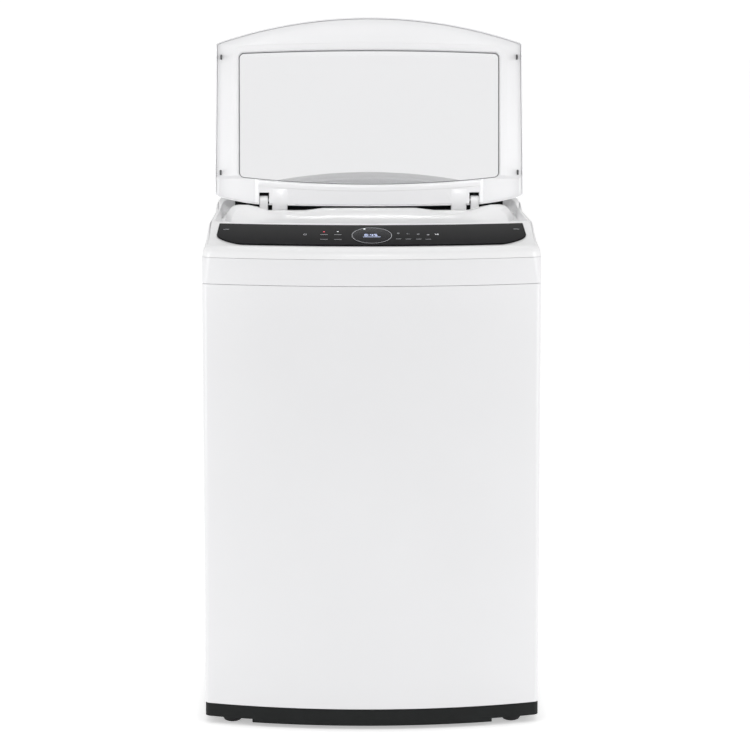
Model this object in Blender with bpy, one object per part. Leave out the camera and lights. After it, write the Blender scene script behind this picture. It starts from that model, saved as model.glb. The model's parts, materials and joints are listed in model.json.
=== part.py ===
"""Top-load washing machine with its lid standing open: casing, suspended tub, drum, direct-drive motor and lid.

Run it with: blender --background --python part.py
Metres, +Z up. X runs to the right of someone facing the machine, the front faces -Y, and the origin is on the
floor below the middle of the casing. Every moving piece hangs from an empty that stands on its joint's axis.
"""

import math

import bmesh
import bpy
from mathutils import Vector

# Driving dimensions of the casing
WIDTH = 0.590
DEPTH = 0.606
CABINET_BOTTOM = 0.036
CABINET_TOP = 0.780
COLLAR_TOP = 0.826
BOW_RADIUS = 0.82  # the front of the casing, seen from above
CORNER_RADIUS = 0.014
COLLAR_CORNER_RADIUS = 0.026
SHEET = 0.0012  # steel of the cabinet
WALL = 0.0025  # plastic of the top cover
GAP = 0.0004  # between pieces that rest on each other

HALF_W = WIDTH / 2
FRONT_Y = -DEPTH / 2
BACK_Y = DEPTH / 2

# The top cover: a level rim round the well, the fascia's slope in front of it and a crowned hump behind it
RIM_Z = 0.880
TROUGH_Z = 0.858
HUMP_Z = 0.941
HUMP_FRONT_Y = 0.165
CROWN_RADIUS = 1.0
FASCIA_FRONT = 0.020  # the fascia lies between these two depths behind the bowed front
FASCIA_REAR = 0.108
FASCIA_FRONT_Z = 0.8455
FASCIA_REAR_Z = 0.8743
FASCIA_THICK = 0.0022
FASCIA_HALF = 0.2725
FASCIA_GAP = 0.0007

# The lid: its hinge axis, and how far it leans back when it stands open. Shut, it lies level on the rim
HINGE_Y = 0.1585
HINGE_Z = 0.8965
LID_LEAN = 5.0
LID_HALF = 0.290
LID_LENGTH = 0.340
LID_BOW = 0.90
LID_REAR = 0.0115
LID_REAR_BOW = 2.2
LID_CORNER = 0.005
LID_RIM_LOW = -0.0125
LID_INNER_LOW = -0.009
LID_GLASS_LOW = 0.0090
LID_GLASS_THICK = 0.0040
LID_TOP = 0.0210
WINDOW_HALF = 0.248
WINDOW_FRONT = -0.2825
WINDOW_REAR = -0.0290
WINDOW_FRONT_BOW = 5.5
WINDOW_REAR_BOW = 2.1
POST_X = 0.199
POST_WIDTH = 0.019
POST_RADIUS = 0.0085
PIN_RADIUS = 0.0030
PIN_HOLE = 0.0034

# The tub and what turns in it stand on the machine's own vertical axis
TUB_RADIUS = 0.262
TUB_BOTTOM = 0.200
TUB_TOP = 0.770
DRUM_RADIUS = 0.243
DRUM_BOTTOM = 0.232
DRUM_TOP = 0.7247
SPIN_SHAFT_RADIUS = 0.0125
PULSATOR_SHAFT_RADIUS = 0.0080
BORE = 0.0004  # radial clearance of every shaft
ROUND = 32  # sides of the large round pieces
SMALL_ROUND = 24  # sides of the shafts, bearings and what stands round them

# The tub hangs on four rods from the cabinet's corners
ROD_X = 0.240
ROD_FRONT_Y = -0.205
ROD_REAR_Y = 0.245
ROD_RADIUS = 0.0045
ROD_FOOT_Z = 0.075
ARM_Z = 0.1893

# The drawer slides through the rear wall of the well
DRAWER_X = (-0.150, -0.010)
DRAWER_Y = (0.0985, 0.265)
DRAWER_Z = (0.808, 0.846)

FOOT_X = 0.247
FOOT_FRONT_Y = -0.232
FOOT_REAR_Y = 0.262
FOOT_RADIUS = 0.0176

MATERIALS = {  # base colour, roughness, metallic
    "cabinet_white": ((0.86, 0.86, 0.87), 0.32, 0.0),
    "cover_white": ((0.88, 0.88, 0.89), 0.28, 0.0),
    "lid_white": ((0.88, 0.88, 0.90), 0.26, 0.0),
    "base_black": ((0.012, 0.013, 0.013), 0.55, 0.0),
    "fascia_black": ((0.035, 0.036, 0.038), 0.18, 0.0),
    "display_dark": ((0.010, 0.011, 0.015), 0.08, 0.0),
    "glass_grey": ((0.80, 0.80, 0.82), 0.05, 0.0),
    "rubber_dark": ((0.025, 0.025, 0.026), 0.75, 0.0),
    "drum_steel": ((0.62, 0.62, 0.62), 0.22, 1.0),
    "shaft_steel": ((0.45, 0.45, 0.46), 0.30, 1.0),
    "zinc_steel": ((0.50, 0.51, 0.53), 0.38, 1.0),
    "tub_grey": ((0.55, 0.56, 0.57), 0.50, 0.0),
    "ring_white": ((0.80, 0.81, 0.82), 0.35, 0.0),
    "pulsator_grey": ((0.62, 0.64, 0.67), 0.35, 0.0),
    "aluminium": ((0.68, 0.69, 0.70), 0.45, 1.0),
    "copper_coil": ((0.55, 0.24, 0.10), 0.40, 1.0),
    "valve_blue": ((0.05, 0.16, 0.50), 0.45, 0.0),
    "valve_red": ((0.55, 0.05, 0.05), 0.45, 0.0),
    "hose_grey": ((0.35, 0.36, 0.37), 0.60, 0.0),
    "board_green": ((0.03, 0.18, 0.08), 0.50, 0.0),
    "filter_blue": ((0.30, 0.45, 0.62), 0.45, 0.0),
}


# ---------------------------------------------------------------- helpers


def clear_scene():
    for old in list(bpy.data.objects):
        bpy.data.objects.remove(old, do_unlink=True)


def material(name):
    found = bpy.data.materials.get(name)
    if found:
        return found
    colour, roughness, metallic = MATERIALS[name]
    made = bpy.data.materials.new(name)
    made.use_nodes = True
    shader = made.node_tree.nodes["Principled BSDF"]
    shader.inputs["Base Color"].default_value = (*colour, 1.0)
    shader.inputs["Roughness"].default_value = roughness
    shader.inputs["Metallic"].default_value = metallic
    made.diffuse_color = (*colour, 1.0)
    return made


def empty(name, location, turn_x=0.0):
    axis = bpy.data.objects.new(name, None)
    axis.location = location
    axis.rotation_euler = (math.radians(turn_x), 0.0, 0.0)
    bpy.context.scene.collection.objects.link(axis)
    return axis


def add_object(name, bm, finish, parent=None, location=(0.0, 0.0, 0.0), sharp_deg=32.0):
    """Turns a bmesh into a named object with its normals facing out and its round faces shaded smooth."""
    bmesh.ops.recalc_face_normals(bm, faces=bm.faces)
    mesh = bpy.data.meshes.new(name)
    bm.to_mesh(mesh)
    bm.free()
    mesh.shade_smooth()
    mesh.set_sharp_from_angle(angle=math.radians(sharp_deg))
    made = bpy.data.objects.new(name, mesh)
    made.location = location
    made.parent = parent
    bpy.context.scene.collection.objects.link(made)
    if finish:
        mesh.materials.append(material(finish))
    return made


def rings_bmesh(rings, closed):
    """Skins rings of equally many points. Closed joins the last ring to the first; otherwise both ends are capped."""
    bm = bmesh.new()
    loops = [[bm.verts.new(p) for p in ring] for ring in rings]
    count = len(rings[0])
    pairs = list(zip(loops, loops[1:]))
    if closed:
        pairs.append((loops[-1], loops[0]))
    for low, high in pairs:
        for i in range(count):
            j = (i + 1) % count
            bm.faces.new((low[i], low[j], high[j], high[i]))
    if not closed:
        bm.faces.new(loops[0])
        bm.faces.new(loops[-1])
    return bm


def prism_bmesh(outline, low, high):
    """A flat outline of (x, y) points between two heights."""
    return rings_bmesh([[(x, y, z) for x, y in outline] for z in (low, high)], closed=False)


def box_bmesh(low, high):
    outline = ((low[0], low[1]), (high[0], low[1]), (high[0], high[1]), (low[0], high[1]))
    return prism_bmesh(outline, low[2], high[2])


def add_box(name, low, high, finish, parent=None, bevel=0.0):
    made = add_object(name, box_bmesh(low, high), finish, parent)
    if bevel:
        soften = made.modifiers.new("edges", "BEVEL")
        soften.width = bevel
        soften.segments = 1
    return made


def circle(radius, sides, centre=(0.0, 0.0), start=0.0):
    turns = (start + 2 * math.pi * i / sides for i in range(sides))
    return [(centre[0] + radius * math.cos(a), centre[1] + radius * math.sin(a)) for a in turns]


def lathe_bmesh(profile, sides):
    """Turns a closed profile of (radius, z) points round Z. A profile that starts and ends on the axis is a solid."""
    on_axis = profile[0][0] == 0.0
    turned = profile[1:-1] if on_axis else profile
    bm = rings_bmesh([[(x, y, z) for x, y in circle(r, sides)] for r, z in turned], closed=not on_axis)
    if on_axis:
        ends = [f for f in bm.faces if len(f.verts) == sides]
        tips = bmesh.ops.poke(bm, faces=ends)["verts"]
        for tip, (_, z) in zip(tips, (profile[0], profile[-1])):
            tip.co.z = z
    return bm


def add_lathe(name, profile, finish, parent=None, location=(0.0, 0.0, 0.0), sides=ROUND):
    return add_object(name, lathe_bmesh(profile, sides), finish, parent, location)


def cylinder_bmesh(radius, low, high, sides=24, along="Z"):
    """A cylinder on the X, Y or Z axis between two places on that axis."""
    rings = [[(x, y, z) for x, y in circle(radius, sides)] for z in (low, high)]
    swap = {"X": lambda p: (p[2], p[0], p[1]), "Y": lambda p: (p[1], p[2], p[0]), "Z": lambda p: p}[along]
    return rings_bmesh([[swap(p) for p in ring] for ring in rings], closed=False)


def tube_bmesh(path, radius, sides):
    """A round tube along a list of points, with flat ends, its section carried along without twist."""
    points = [Vector(p) for p in path]
    rings = []
    side = None
    for i, point in enumerate(points):
        ahead = points[min(i + 1, len(points) - 1)] - points[max(i - 1, 0)]
        ahead.normalize()
        if side is None:
            side = ahead.orthogonal()
        side = (side - ahead * side.dot(ahead)).normalized()
        other = ahead.cross(side)
        rings.append([tuple(point + side * x + other * y) for x, y in circle(radius, sides)])
    return rings_bmesh(rings, closed=False)


def combine(target, tool_bmesh, operation, parent=None, location=(0.0, 0.0, 0.0)):
    """Cuts or joins a helper shape, which stays in the scene as a hidden wire."""
    tool = add_object(target.name + "_tool", tool_bmesh, None, parent, location)
    tool.hide_render = True
    tool.display_type = "WIRE"
    step = target.modifiers.new(operation.lower(), "BOOLEAN")
    step.operation = operation
    step.object = tool
    return tool


# ---------------------------------------------------------------- outlines seen from above


class Plan:
    """A four-sided outline with straight sides, bowed front and rear edges and rounded corners."""

    def __init__(self, half, front, rear, corner, front_radius=BOW_RADIUS, rear_radius=None, centre_y=-0.03):
        self.half, self.front, self.rear, self.corner = half, front, rear, corner
        self.front_radius, self.rear_radius, self.centre_y = front_radius, rear_radius, centre_y

    def inset(self, by):
        corner = max(self.corner - by, 0.001)
        return Plan(self.half - by, self.front + by, self.rear - by, corner, self.front_radius,
                    self.rear_radius, self.centre_y)

    def front_at(self, x):
        return self.front + sagitta(x, self.front_radius)

    def rear_at(self, x):
        return self.rear - (sagitta(x, self.rear_radius) if self.rear_radius else 0.0)

    def holds(self, x, y):
        """Whether a point lies inside, with the corners rounded by their radius."""
        reach = self.half - self.corner
        held = max(-reach, min(reach, x))
        low, high = self.front_at(held) + self.corner, self.rear_at(held) - self.corner
        past = max(low - y, y - high, 0.0)
        return math.hypot(x - held, past) <= self.corner if high > low else False

    def point(self, angle):
        """Where a ray from the centre leaves the outline."""
        dx, dy = math.cos(angle), math.sin(angle)
        near, far = 0.0, 0.6
        for _ in range(40):
            middle = (near + far) / 2
            if self.holds(middle * dx, self.centre_y + middle * dy):
                near = middle
            else:
                far = middle
        return near * dx, self.centre_y + near * dy

    def points(self, angles):
        return [self.point(a) for a in angles]


def sagitta(x, radius):
    return radius - math.sqrt(radius * radius - x * x)


def mirrored_angles(spans):
    """Ray angles in radians, from spans of (start, end, count) in degrees on the right half and their mirror images."""
    right = [math.radians(a + (b - a) * i / n) for a, b, n in spans for i in range(n)]
    return right + [math.pi / 2] + [math.pi - a for a in reversed(right[1:])]


CASE_ANGLES = mirrored_angles(((-90, -44, 6), (-44, -24, 5), (-24, 34, 5), (34, 52, 6), (52, 90, 3)))
LID_ANGLES = mirrored_angles(((-90, -30, 6), (-30, -18, 5), (-18, 19, 3), (19, 33, 6), (33, 90, 4)))


def case_plan(corner=CORNER_RADIUS, inset=0.0):
    return Plan(HALF_W, FRONT_Y, BACK_Y, corner).inset(inset)


# ---------------------------------------------------------------- casing


def make_cabinet():
    """The wrap-round steel sheet, open at the rear between two flanges, with a gusset in each top corner."""
    outer = case_plan().points(CASE_ANGLES)
    inner = case_plan(inset=SHEET).points(CASE_ANGLES)
    flange_x = 0.250
    rear = [i for i, (x, y) in enumerate(outer) if y > BACK_Y - 1e-4 and abs(x) < flange_x]
    start = max(rear) + 1
    order = [(start + i) % len(outer) for i in range(len(outer) - len(rear))]
    loop = [outer[i] for i in order] + [inner[i] for i in reversed(order)]
    bm = bmesh.new()
    low, high = ([bm.verts.new((x, y, z)) for x, y in loop] for z in (CABINET_BOTTOM, CABINET_TOP))
    count, last = len(loop), len(loop) - 1
    for i in range(count):
        j = (i + 1) % count
        bm.faces.new((low[i], low[j], high[j], high[i]))
    for i in range(len(order) - 1):
        for level in (low, high):
            bm.faces.new((level[i], level[i + 1], level[last - i - 1], level[last - i]))
    shell = add_object("cabinet_shell", bm, "cabinet_white")
    buried = case_plan(inset=SHEET / 2).points(CASE_ANGLES)
    right = sorted((p for p in buried if p[0] > 0.19), key=lambda p: math.atan2(p[1], p[0]))
    front = [p for p in right if p[1] < -0.14] + [(0.205, -0.185)]
    rear = [p for p in right if p[1] > 0.18 and p[0] > 0.275]
    rear += [(0.262, 0.285), (0.205, 0.280), (0.205, 0.215)]
    for outline, rod_y in ((front, ROD_FRONT_Y), (rear, ROD_REAR_Y)):
        for side in (-1, 1):
            plate = prism_bmesh([(side * x, y) for x, y in outline], 0.7585, 0.7605)
            combine(shell, plate, "UNION")
            hole = cylinder_bmesh(ROD_RADIUS + 0.0015, 0.75, 0.77, 12)
            combine(shell, hole, "DIFFERENCE", location=(side * ROD_X, rod_y, 0.0))


def make_rear_panel():
    """A flat sheet behind the flanges with a field pressed 6 mm inwards and holes for the cord and the drain."""
    half, low, high = 0.272, CABINET_BOTTOM + 0.006, CABINET_TOP - 0.006
    border, ramp = 0.045, 0.008
    outside_y, inside_y = BACK_Y - SHEET - 0.0012, BACK_Y - SHEET - 0.007
    thick = SHEET

    def frame(by, y):
        return [(-half + by, y, low + by), (half - by, y, low + by), (half - by, y, high - by),
                (-half + by, y, high - by)]

    rings = [frame(border + ramp, inside_y), frame(border, outside_y), frame(0.0, outside_y),
             frame(0.0, outside_y - thick), frame(border, outside_y - thick),
             frame(border + ramp, inside_y - thick)]
    panel = add_object("rear_panel", rings_bmesh(rings, closed=False), "zinc_steel")
    cord = cylinder_bmesh(0.0095, 0.27, 0.31, 20, along="Y")
    combine(panel, cord, "DIFFERENCE", location=(GLAND_X, 0.0, GLAND_Z))
    drain = cylinder_bmesh(0.0150, 0.27, 0.31, 20, along="Y")
    combine(panel, drain, "DIFFERENCE", location=(DRAIN_X, 0.0, DRAIN_Z))


GLAND_X, GLAND_Z = 0.190, 0.700
DRAIN_X, DRAIN_Z = -0.185, 0.690


def make_base():
    """The black base: a skirt with a deeper kick between the front feet, an inner flange and a boss over each foot."""
    skirt_low, kick_low, flange_low, top = 0.0125, 0.0065, 0.0290, CABINET_BOTTOM - GAP
    kick_half = 0.211
    plan = case_plan(inset=0.0006)
    inner = case_plan(inset=0.0036)
    flange = Plan(0.205, -0.175, 0.205, 0.06)

    def ring(points, z):
        return [(x, y, z) for x, y in points]

    wall, back, hole = plan.points(CASE_ANGLES), inner.points(CASE_ANGLES), flange.points(CASE_ANGLES)
    rings = [ring(wall, skirt_low), ring(wall, top), ring(hole, top), ring(hole, flange_low),
             ring(back, flange_low), ring(back, skirt_low)]
    base = add_object("base_frame", rings_bmesh(rings, closed=True), "base_black")
    steps = 14
    xs = [-kick_half + 2 * kick_half * i / steps for i in range(steps + 1)]
    outside, inside = case_plan(inset=0.0011), case_plan(inset=0.0031)
    kick = [(x, outside.front_at(x)) for x in xs] + [(x, inside.front_at(x)) for x in reversed(xs)]
    combine(base, prism_bmesh(kick, kick_low, skirt_low + 0.004), "UNION")
    for x, y in foot_places():
        boss = cylinder_bmesh(0.012, 0.0150, flange_low + 0.002, 12)
        combine(base, boss, "UNION", location=(x, y, 0.0))
        hole = cylinder_bmesh(0.0054, 0.010, 0.031, 12)
        combine(base, hole, "DIFFERENCE", location=(x, y, 0.0))


def foot_places():
    return [(side * FOOT_X, y) for y in (FOOT_FRONT_Y, FOOT_REAR_Y) for side in (-1, 1)]


def make_feet():
    """A domed rubber foot on a threaded stud, at each corner. The front pair turn for levelling."""
    profile = [(0.0, 0.0), (0.0095, 0.0), (0.0140, 0.0020), (0.0168, 0.0060), (FOOT_RADIUS, 0.0110),
               (FOOT_RADIUS, 0.0140), (0.0050, 0.0142), (0.0050, 0.0300), (0.0, 0.0300)]
    names = ("front_left_foot", "front_right_foot", "rear_left_foot", "rear_right_foot")
    for name, (x, y) in zip(names, foot_places()):
        axis = empty(name + "_axis", (x, y, 0.0))
        add_lathe(name, profile, "rubber_dark", parent=axis, sides=14)


def make_collar():
    """The band between the cabinet and the top cover. Its corners open from the cabinet's radius to the cover's."""
    thick = 0.003
    low, high = CABINET_TOP + GAP, COLLAR_TOP
    rings = []
    for corner, inset, z in ((CORNER_RADIUS, 0.0, low), (COLLAR_CORNER_RADIUS, 0.0, high),
                             (COLLAR_CORNER_RADIUS, thick, high), (CORNER_RADIUS, thick, low)):
        rings.append([(x, y, z) for x, y in case_plan(corner, inset).points(CASE_ANGLES)])
    add_object("collar_band", rings_bmesh(rings, closed=True), "cover_white")


def hump_z(x):
    return HUMP_Z - sagitta(x, CROWN_RADIUS)


def fascia_z(depth):
    slope = (FASCIA_REAR_Z - FASCIA_FRONT_Z) / (FASCIA_REAR - FASCIA_FRONT)
    return FASCIA_FRONT_Z + slope * (depth - FASCIA_FRONT)


def smooth(value):
    held = max(0.0, min(1.0, value))
    return held * held * (3 - 2 * held)


def ledge_z(x):
    """The ledge behind the well: a little higher in the middle, with a pad on each side near its end."""
    middle = smooth((0.115 - abs(x)) / 0.020)
    pad = smooth((abs(x) - 0.195) / 0.025) * smooth((0.272 - abs(x)) / 0.020)
    return RIM_Z + 0.0040 * middle + 0.0055 * pad


# The top cover's section, station by station from its lower edge over the top and down to the mouth of the well:
# (depth behind the bowed front, z), (inset of the side, z, how far it stays below the fascia's slope, how far it
# rises beside the hump), (inset of the rear, z, or drop below the hump, or "ledge"), corner radius
COVER_STATIONS = (
    ((0.0000, 0.8272), (0.0000, 0.8272, 0.0000, 0.0000), (0.0000, 0.8272), 0.026),
    ((0.0035, 0.8380), (0.0022, 0.8400, 0.0000, 0.0000), (0.0010, -0.0120), 0.027),
    ((0.0140, 0.8465), (0.0068, 0.8690, 0.0075, 0.0110), (0.0060, -0.0010), 0.030),
    ((FASCIA_FRONT, FASCIA_FRONT_Z), (0.0095, 0.8775, 0.0020, 0.0110), (0.0140, 0.0), 0.030),
    ((FASCIA_REAR, FASCIA_REAR_Z), (0.0125, RIM_Z, 0.0, 0.0145), (0.0970, -0.0030), 0.024),
    ((0.1190, RIM_Z), (0.0175, RIM_Z, -0.1, 0.0145), (0.1040, -0.0070), 0.030),
    ((0.1215, 0.8500), (0.0200, 0.8660, -0.1, 0.0), (0.1120, TROUGH_Z), 0.030),
    ((0.1260, 0.8460), (0.0240, 0.8640, -0.1, 0.0), (0.1640, TROUGH_Z), 0.030),
    ((0.1290, 0.8450), (0.0280, 0.8630, -0.1, 0.0), (0.1690, "ledge"), 0.032),
    ((0.1320, 0.8440), (0.0380, 0.8610, -0.1, 0.0), (0.1920, "ledge"), 0.040),
    ((0.1380, 0.8380), (0.0750, 0.8440, -0.1, 0.0), (0.1960, 0.8700), 0.070),
    ((0.1480, 0.8000), (0.0850, 0.8000, -0.1, 0.0), (0.2030, 0.8000), 0.085),
)


def cover_ring(station):
    """One station of the top cover as a ring of points. Heights blend from one section to the next at the corners."""
    (front_in, front_z), (side_in, side_z, below, rise), (rear_in, rear_z), corner = station
    plan = Plan(HALF_W - side_in, FRONT_Y + front_in, BACK_Y - rear_in, corner)
    ring = []
    for x, y in plan.points(CASE_ANGLES):
        slope = fascia_z(y - FRONT_Y - sagitta(x, BOW_RADIUS)) - below
        side = min(side_z, max(slope, front_z)) + rise * smooth((y - HUMP_FRONT_Y) / 0.030)
        if rear_z == "ledge":
            rear = ledge_z(x)
        else:
            rear = rear_z if rear_z > 0.5 else hump_z(x) + rear_z
        to_front = max(0.0, 1.0 - (y - plan.front_at(x)) / corner)
        to_rear = max(0.0, 1.0 - (plan.rear - y) / corner)
        z = side + (front_z - side) * min(1.0, to_front) + (rear - side) * min(1.0, to_rear)
        ring.append((x, y, z))
    return ring


def make_top_cover():
    """The moulded top, as one skin from its lower edge over the shoulders and down into the well, thickened inwards."""
    rings = [cover_ring(station) for station in COVER_STATIONS]
    bm = rings_bmesh(rings, closed=False)
    count = len(CASE_ANGLES)
    bmesh.ops.delete(bm, geom=[f for f in bm.faces if len(f.verts) == count], context="FACES_ONLY")
    cover = add_object("top_cover", bm, "cover_white", sharp_deg=25.0)
    upward = sum(p.normal.z * p.area for p in cover.data.polygons) > 0
    skin = cover.modifiers.new("wall", "SOLIDIFY")
    skin.thickness = WALL
    skin.offset = -1.0 if upward else 1.0
    skin.use_even_offset = True
    skin.thickness_clamp = 1.0
    slot = box_bmesh((DRAWER_X[0] - 0.0015, 0.070, DRAWER_Z[0] - 0.0015),
                     (DRAWER_X[1] + 0.0015, 0.130, DRAWER_Z[1] + 0.0015))
    combine(cover, slot, "DIFFERENCE")
    bay = box_bmesh((BAY_X[0] - GAP, 0.28, BAY_Z[0] - GAP), (BAY_X[1] + GAP, 0.35, BAY_Z[1] + GAP))
    combine(cover, bay, "DIFFERENCE")


BAY_X = (0.116, 0.224)
BAY_Z = (0.842, 0.882)
BAY_Y = (0.2710, 0.3015)
INLET_X = (0.144, 0.196)
INLET_Z = 0.862


def fascia_half(depth):
    """Half the fascia's length, which rounds in towards its front edge."""
    turn = 0.055
    past = max(0.0, (turn - depth) / (turn - FASCIA_FRONT - 0.0012))
    return FASCIA_HALF - 0.0365 * (1.0 - math.sqrt(max(0.0, 1.0 - past * past)))


def slab_bmesh(top, bottom):
    """A closed slab between two equal grids of points."""
    bm = bmesh.new()
    rows, columns = len(top), len(top[0])
    upper, lower = ([[bm.verts.new(p) for p in row] for row in grid] for grid in (top, bottom))
    for r in range(rows - 1):
        for c in range(columns - 1):
            bm.faces.new((upper[r][c], upper[r][c + 1], upper[r + 1][c + 1], upper[r + 1][c]))
            bm.faces.new((lower[r][c], lower[r + 1][c], lower[r + 1][c + 1], lower[r][c + 1]))
    edge = [(0, c) for c in range(columns)] + [(r, columns - 1) for r in range(1, rows)]
    edge += [(rows - 1, c) for c in range(columns - 2, -1, -1)] + [(r, 0) for r in range(rows - 2, 0, -1)]
    for (r, c), (s, d) in zip(edge, edge[1:] + edge[:1]):
        bm.faces.new((upper[r][c], lower[r][c], lower[s][d], upper[s][d]))
    return bm


def make_fascia():
    """The dark control panel on the front slope, with the round display window on it and the board under it."""
    depths = (0.0212, 0.0225, 0.026, 0.032, 0.042, 0.055, FASCIA_REAR - 0.0012)
    across = 18

    def grid(lift):
        rows = []
        for depth in depths:
            xs = [fascia_half(depth) * (2 * i / across - 1) for i in range(across + 1)]
            rows.append([(x, FRONT_Y + sagitta(x, BOW_RADIUS) + depth, fascia_z(depth) + lift) for x in xs])
        return rows

    panel = slab_bmesh(grid(FASCIA_GAP + FASCIA_THICK), grid(FASCIA_GAP))
    add_object("control_fascia", panel, "fascia_black")
    depth = (FASCIA_FRONT + FASCIA_REAR) / 2
    tilt = math.degrees(math.atan2(FASCIA_REAR_Z - FASCIA_FRONT_Z, FASCIA_REAR - FASCIA_FRONT))
    lens_z = fascia_z(depth) + FASCIA_GAP + FASCIA_THICK + 0.0007
    seat = empty("display_axis", (0.0, FRONT_Y + depth, lens_z), tilt)
    lens = [(0.0, 0.0), (0.0250, 0.0), (0.0250, 0.0010), (0.0, 0.0012)]
    add_lathe("display_window", lens, "display_dark", parent=seat, sides=24)
    under = [[(x, FRONT_Y + sagitta(x, BOW_RADIUS) + d, fascia_z(d) - WALL - 0.0010) for x in BOARD_XS]
             for d in (0.042, 0.088)]
    lower = [[(x, y, z - 0.0100) for x, y, z in row] for row in under]
    add_object("control_board", slab_bmesh(under, lower), "board_green")


BOARD_XS = [-0.150 + 0.025 * i for i in range(13)]


def make_inlets():
    """A bay in the rear wall, and a hot and a cold water valve behind it whose threaded inlets stand in the bay."""
    bay = open_box_bmesh((BAY_X[0], BAY_Y[0], BAY_Z[0]), (BAY_X[1], BAY_Y[1], BAY_Z[1]), 0.002,
                         Vector((0, 1, 0)))
    bay = add_object("inlet_bay", bay, "tub_grey")
    nozzle = [(0.0, 0.0), (0.0095, 0.0), (0.0095, 0.0120)]
    for turn in range(3):
        z = 0.0130 + 0.0050 * turn
        nozzle += [(0.0108, z), (0.0108, z + 0.0024), (0.0096, z + 0.0034)]
    nozzle += [(0.0096, 0.0300), (0.0072, 0.0300), (0.0072, 0.0100), (0.0, 0.0100)]
    for name, x, finish in (("hot_inlet_valve", INLET_X[0], "valve_red"),
                            ("cold_inlet_valve", INLET_X[1], "valve_blue")):
        hole = cylinder_bmesh(0.0105, 0.26, 0.28, 14, along="Y")
        combine(bay, hole, "DIFFERENCE", location=(x, 0.0, INLET_Z))
        seat = empty(name + "_seat", (x, BAY_Y[0] - GAP, INLET_Z), -90.0)
        valve = add_lathe(name, nozzle, finish, parent=seat, sides=14)
        body = box_bmesh((-0.014, -0.014, -0.030), (0.014, 0.014, 0.0))
        combine(valve, body, "UNION", parent=seat)
        coil = cylinder_bmesh(0.010, -0.034, 0.0, 14, along="Y")
        combine(valve, coil, "UNION", parent=seat, location=(0.0, 0.0, -0.0155))


def make_rear_fittings():
    """The bushing that the power cord enters by, and the stub that the drain hose ends on."""
    gland = [(0.0050, 0.0), (0.0090, 0.0), (0.0090, 0.0040), (0.0120, 0.0040), (0.0120, 0.0070),
             (0.0105, 0.0085), (0.0050, 0.0085)]
    seat = empty("gland_seat", (GLAND_X, BACK_Y - 0.0093, GLAND_Z), -90.0)
    add_lathe("power_cord_gland", gland, "rubber_dark", parent=seat, sides=16)
    stub = [(0.0100, 0.0), (0.0145, 0.0), (0.0145, 0.0040), (0.0180, 0.0040), (0.0180, 0.0060),
            (0.0130, 0.0060),
            (0.0130, 0.0088), (0.0100, 0.0088)]
    seat = empty("drain_seat", (DRAIN_X, BACK_Y - 0.0093, DRAIN_Z), -90.0)
    add_lathe("drain_outlet", stub, "hose_grey", parent=seat, sides=16)


# ---------------------------------------------------------------- drawer


def open_box_bmesh(low, high, wall, facing):
    """A five-walled box whose open side faces the given way."""
    bm = box_bmesh(low, high)
    bmesh.ops.recalc_face_normals(bm, faces=bm.faces)
    face = max(bm.faces, key=lambda f: f.normal.dot(facing))
    bmesh.ops.inset_region(bm, faces=[face], thickness=wall, use_even_offset=True)
    depth = abs(facing.dot(Vector(high) - Vector(low))) - wall
    bmesh.ops.translate(bm, verts=face.verts, vec=-depth * facing)
    return bm


def make_drawer():
    """The detergent drawer, with a divider and a finger scoop, and the housing that it runs in."""
    (x0, x1), (y0, y1), (z0, z1) = DRAWER_X, DRAWER_Y, DRAWER_Z
    play = 0.0010
    wall = 0.0022
    axis = empty("drawer_axis", (0.0, 0.0, 0.0))
    tray = open_box_bmesh((x0, y0, z0), (x1, y1, z1), wall, Vector((0, 0, 1)))
    drawer = add_object("detergent_drawer", tray, "ring_white", axis)
    divider = box_bmesh((x0 + 0.088, y0 + 0.001, z0 + 0.001), (x0 + 0.090, y1 - 0.001, z1 - 0.010))
    combine(drawer, divider, "UNION", parent=axis)
    scoop = cylinder_bmesh(0.012, x0 + 0.045, x1 - 0.045, 16, along="X")
    combine(drawer, scoop, "DIFFERENCE", parent=axis, location=(0.0, y0 - 0.0108, (z0 + z1) / 2))
    margin = play + wall
    sleeve = open_box_bmesh((x0 - margin, 0.1085, z0 - margin), (x1 + margin, y1 + 0.006, z1 + margin), wall,
                            Vector((0, -1, 0)))
    add_object("drawer_housing", sleeve, "tub_grey")


# ---------------------------------------------------------------- tub, drum and drive


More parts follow.
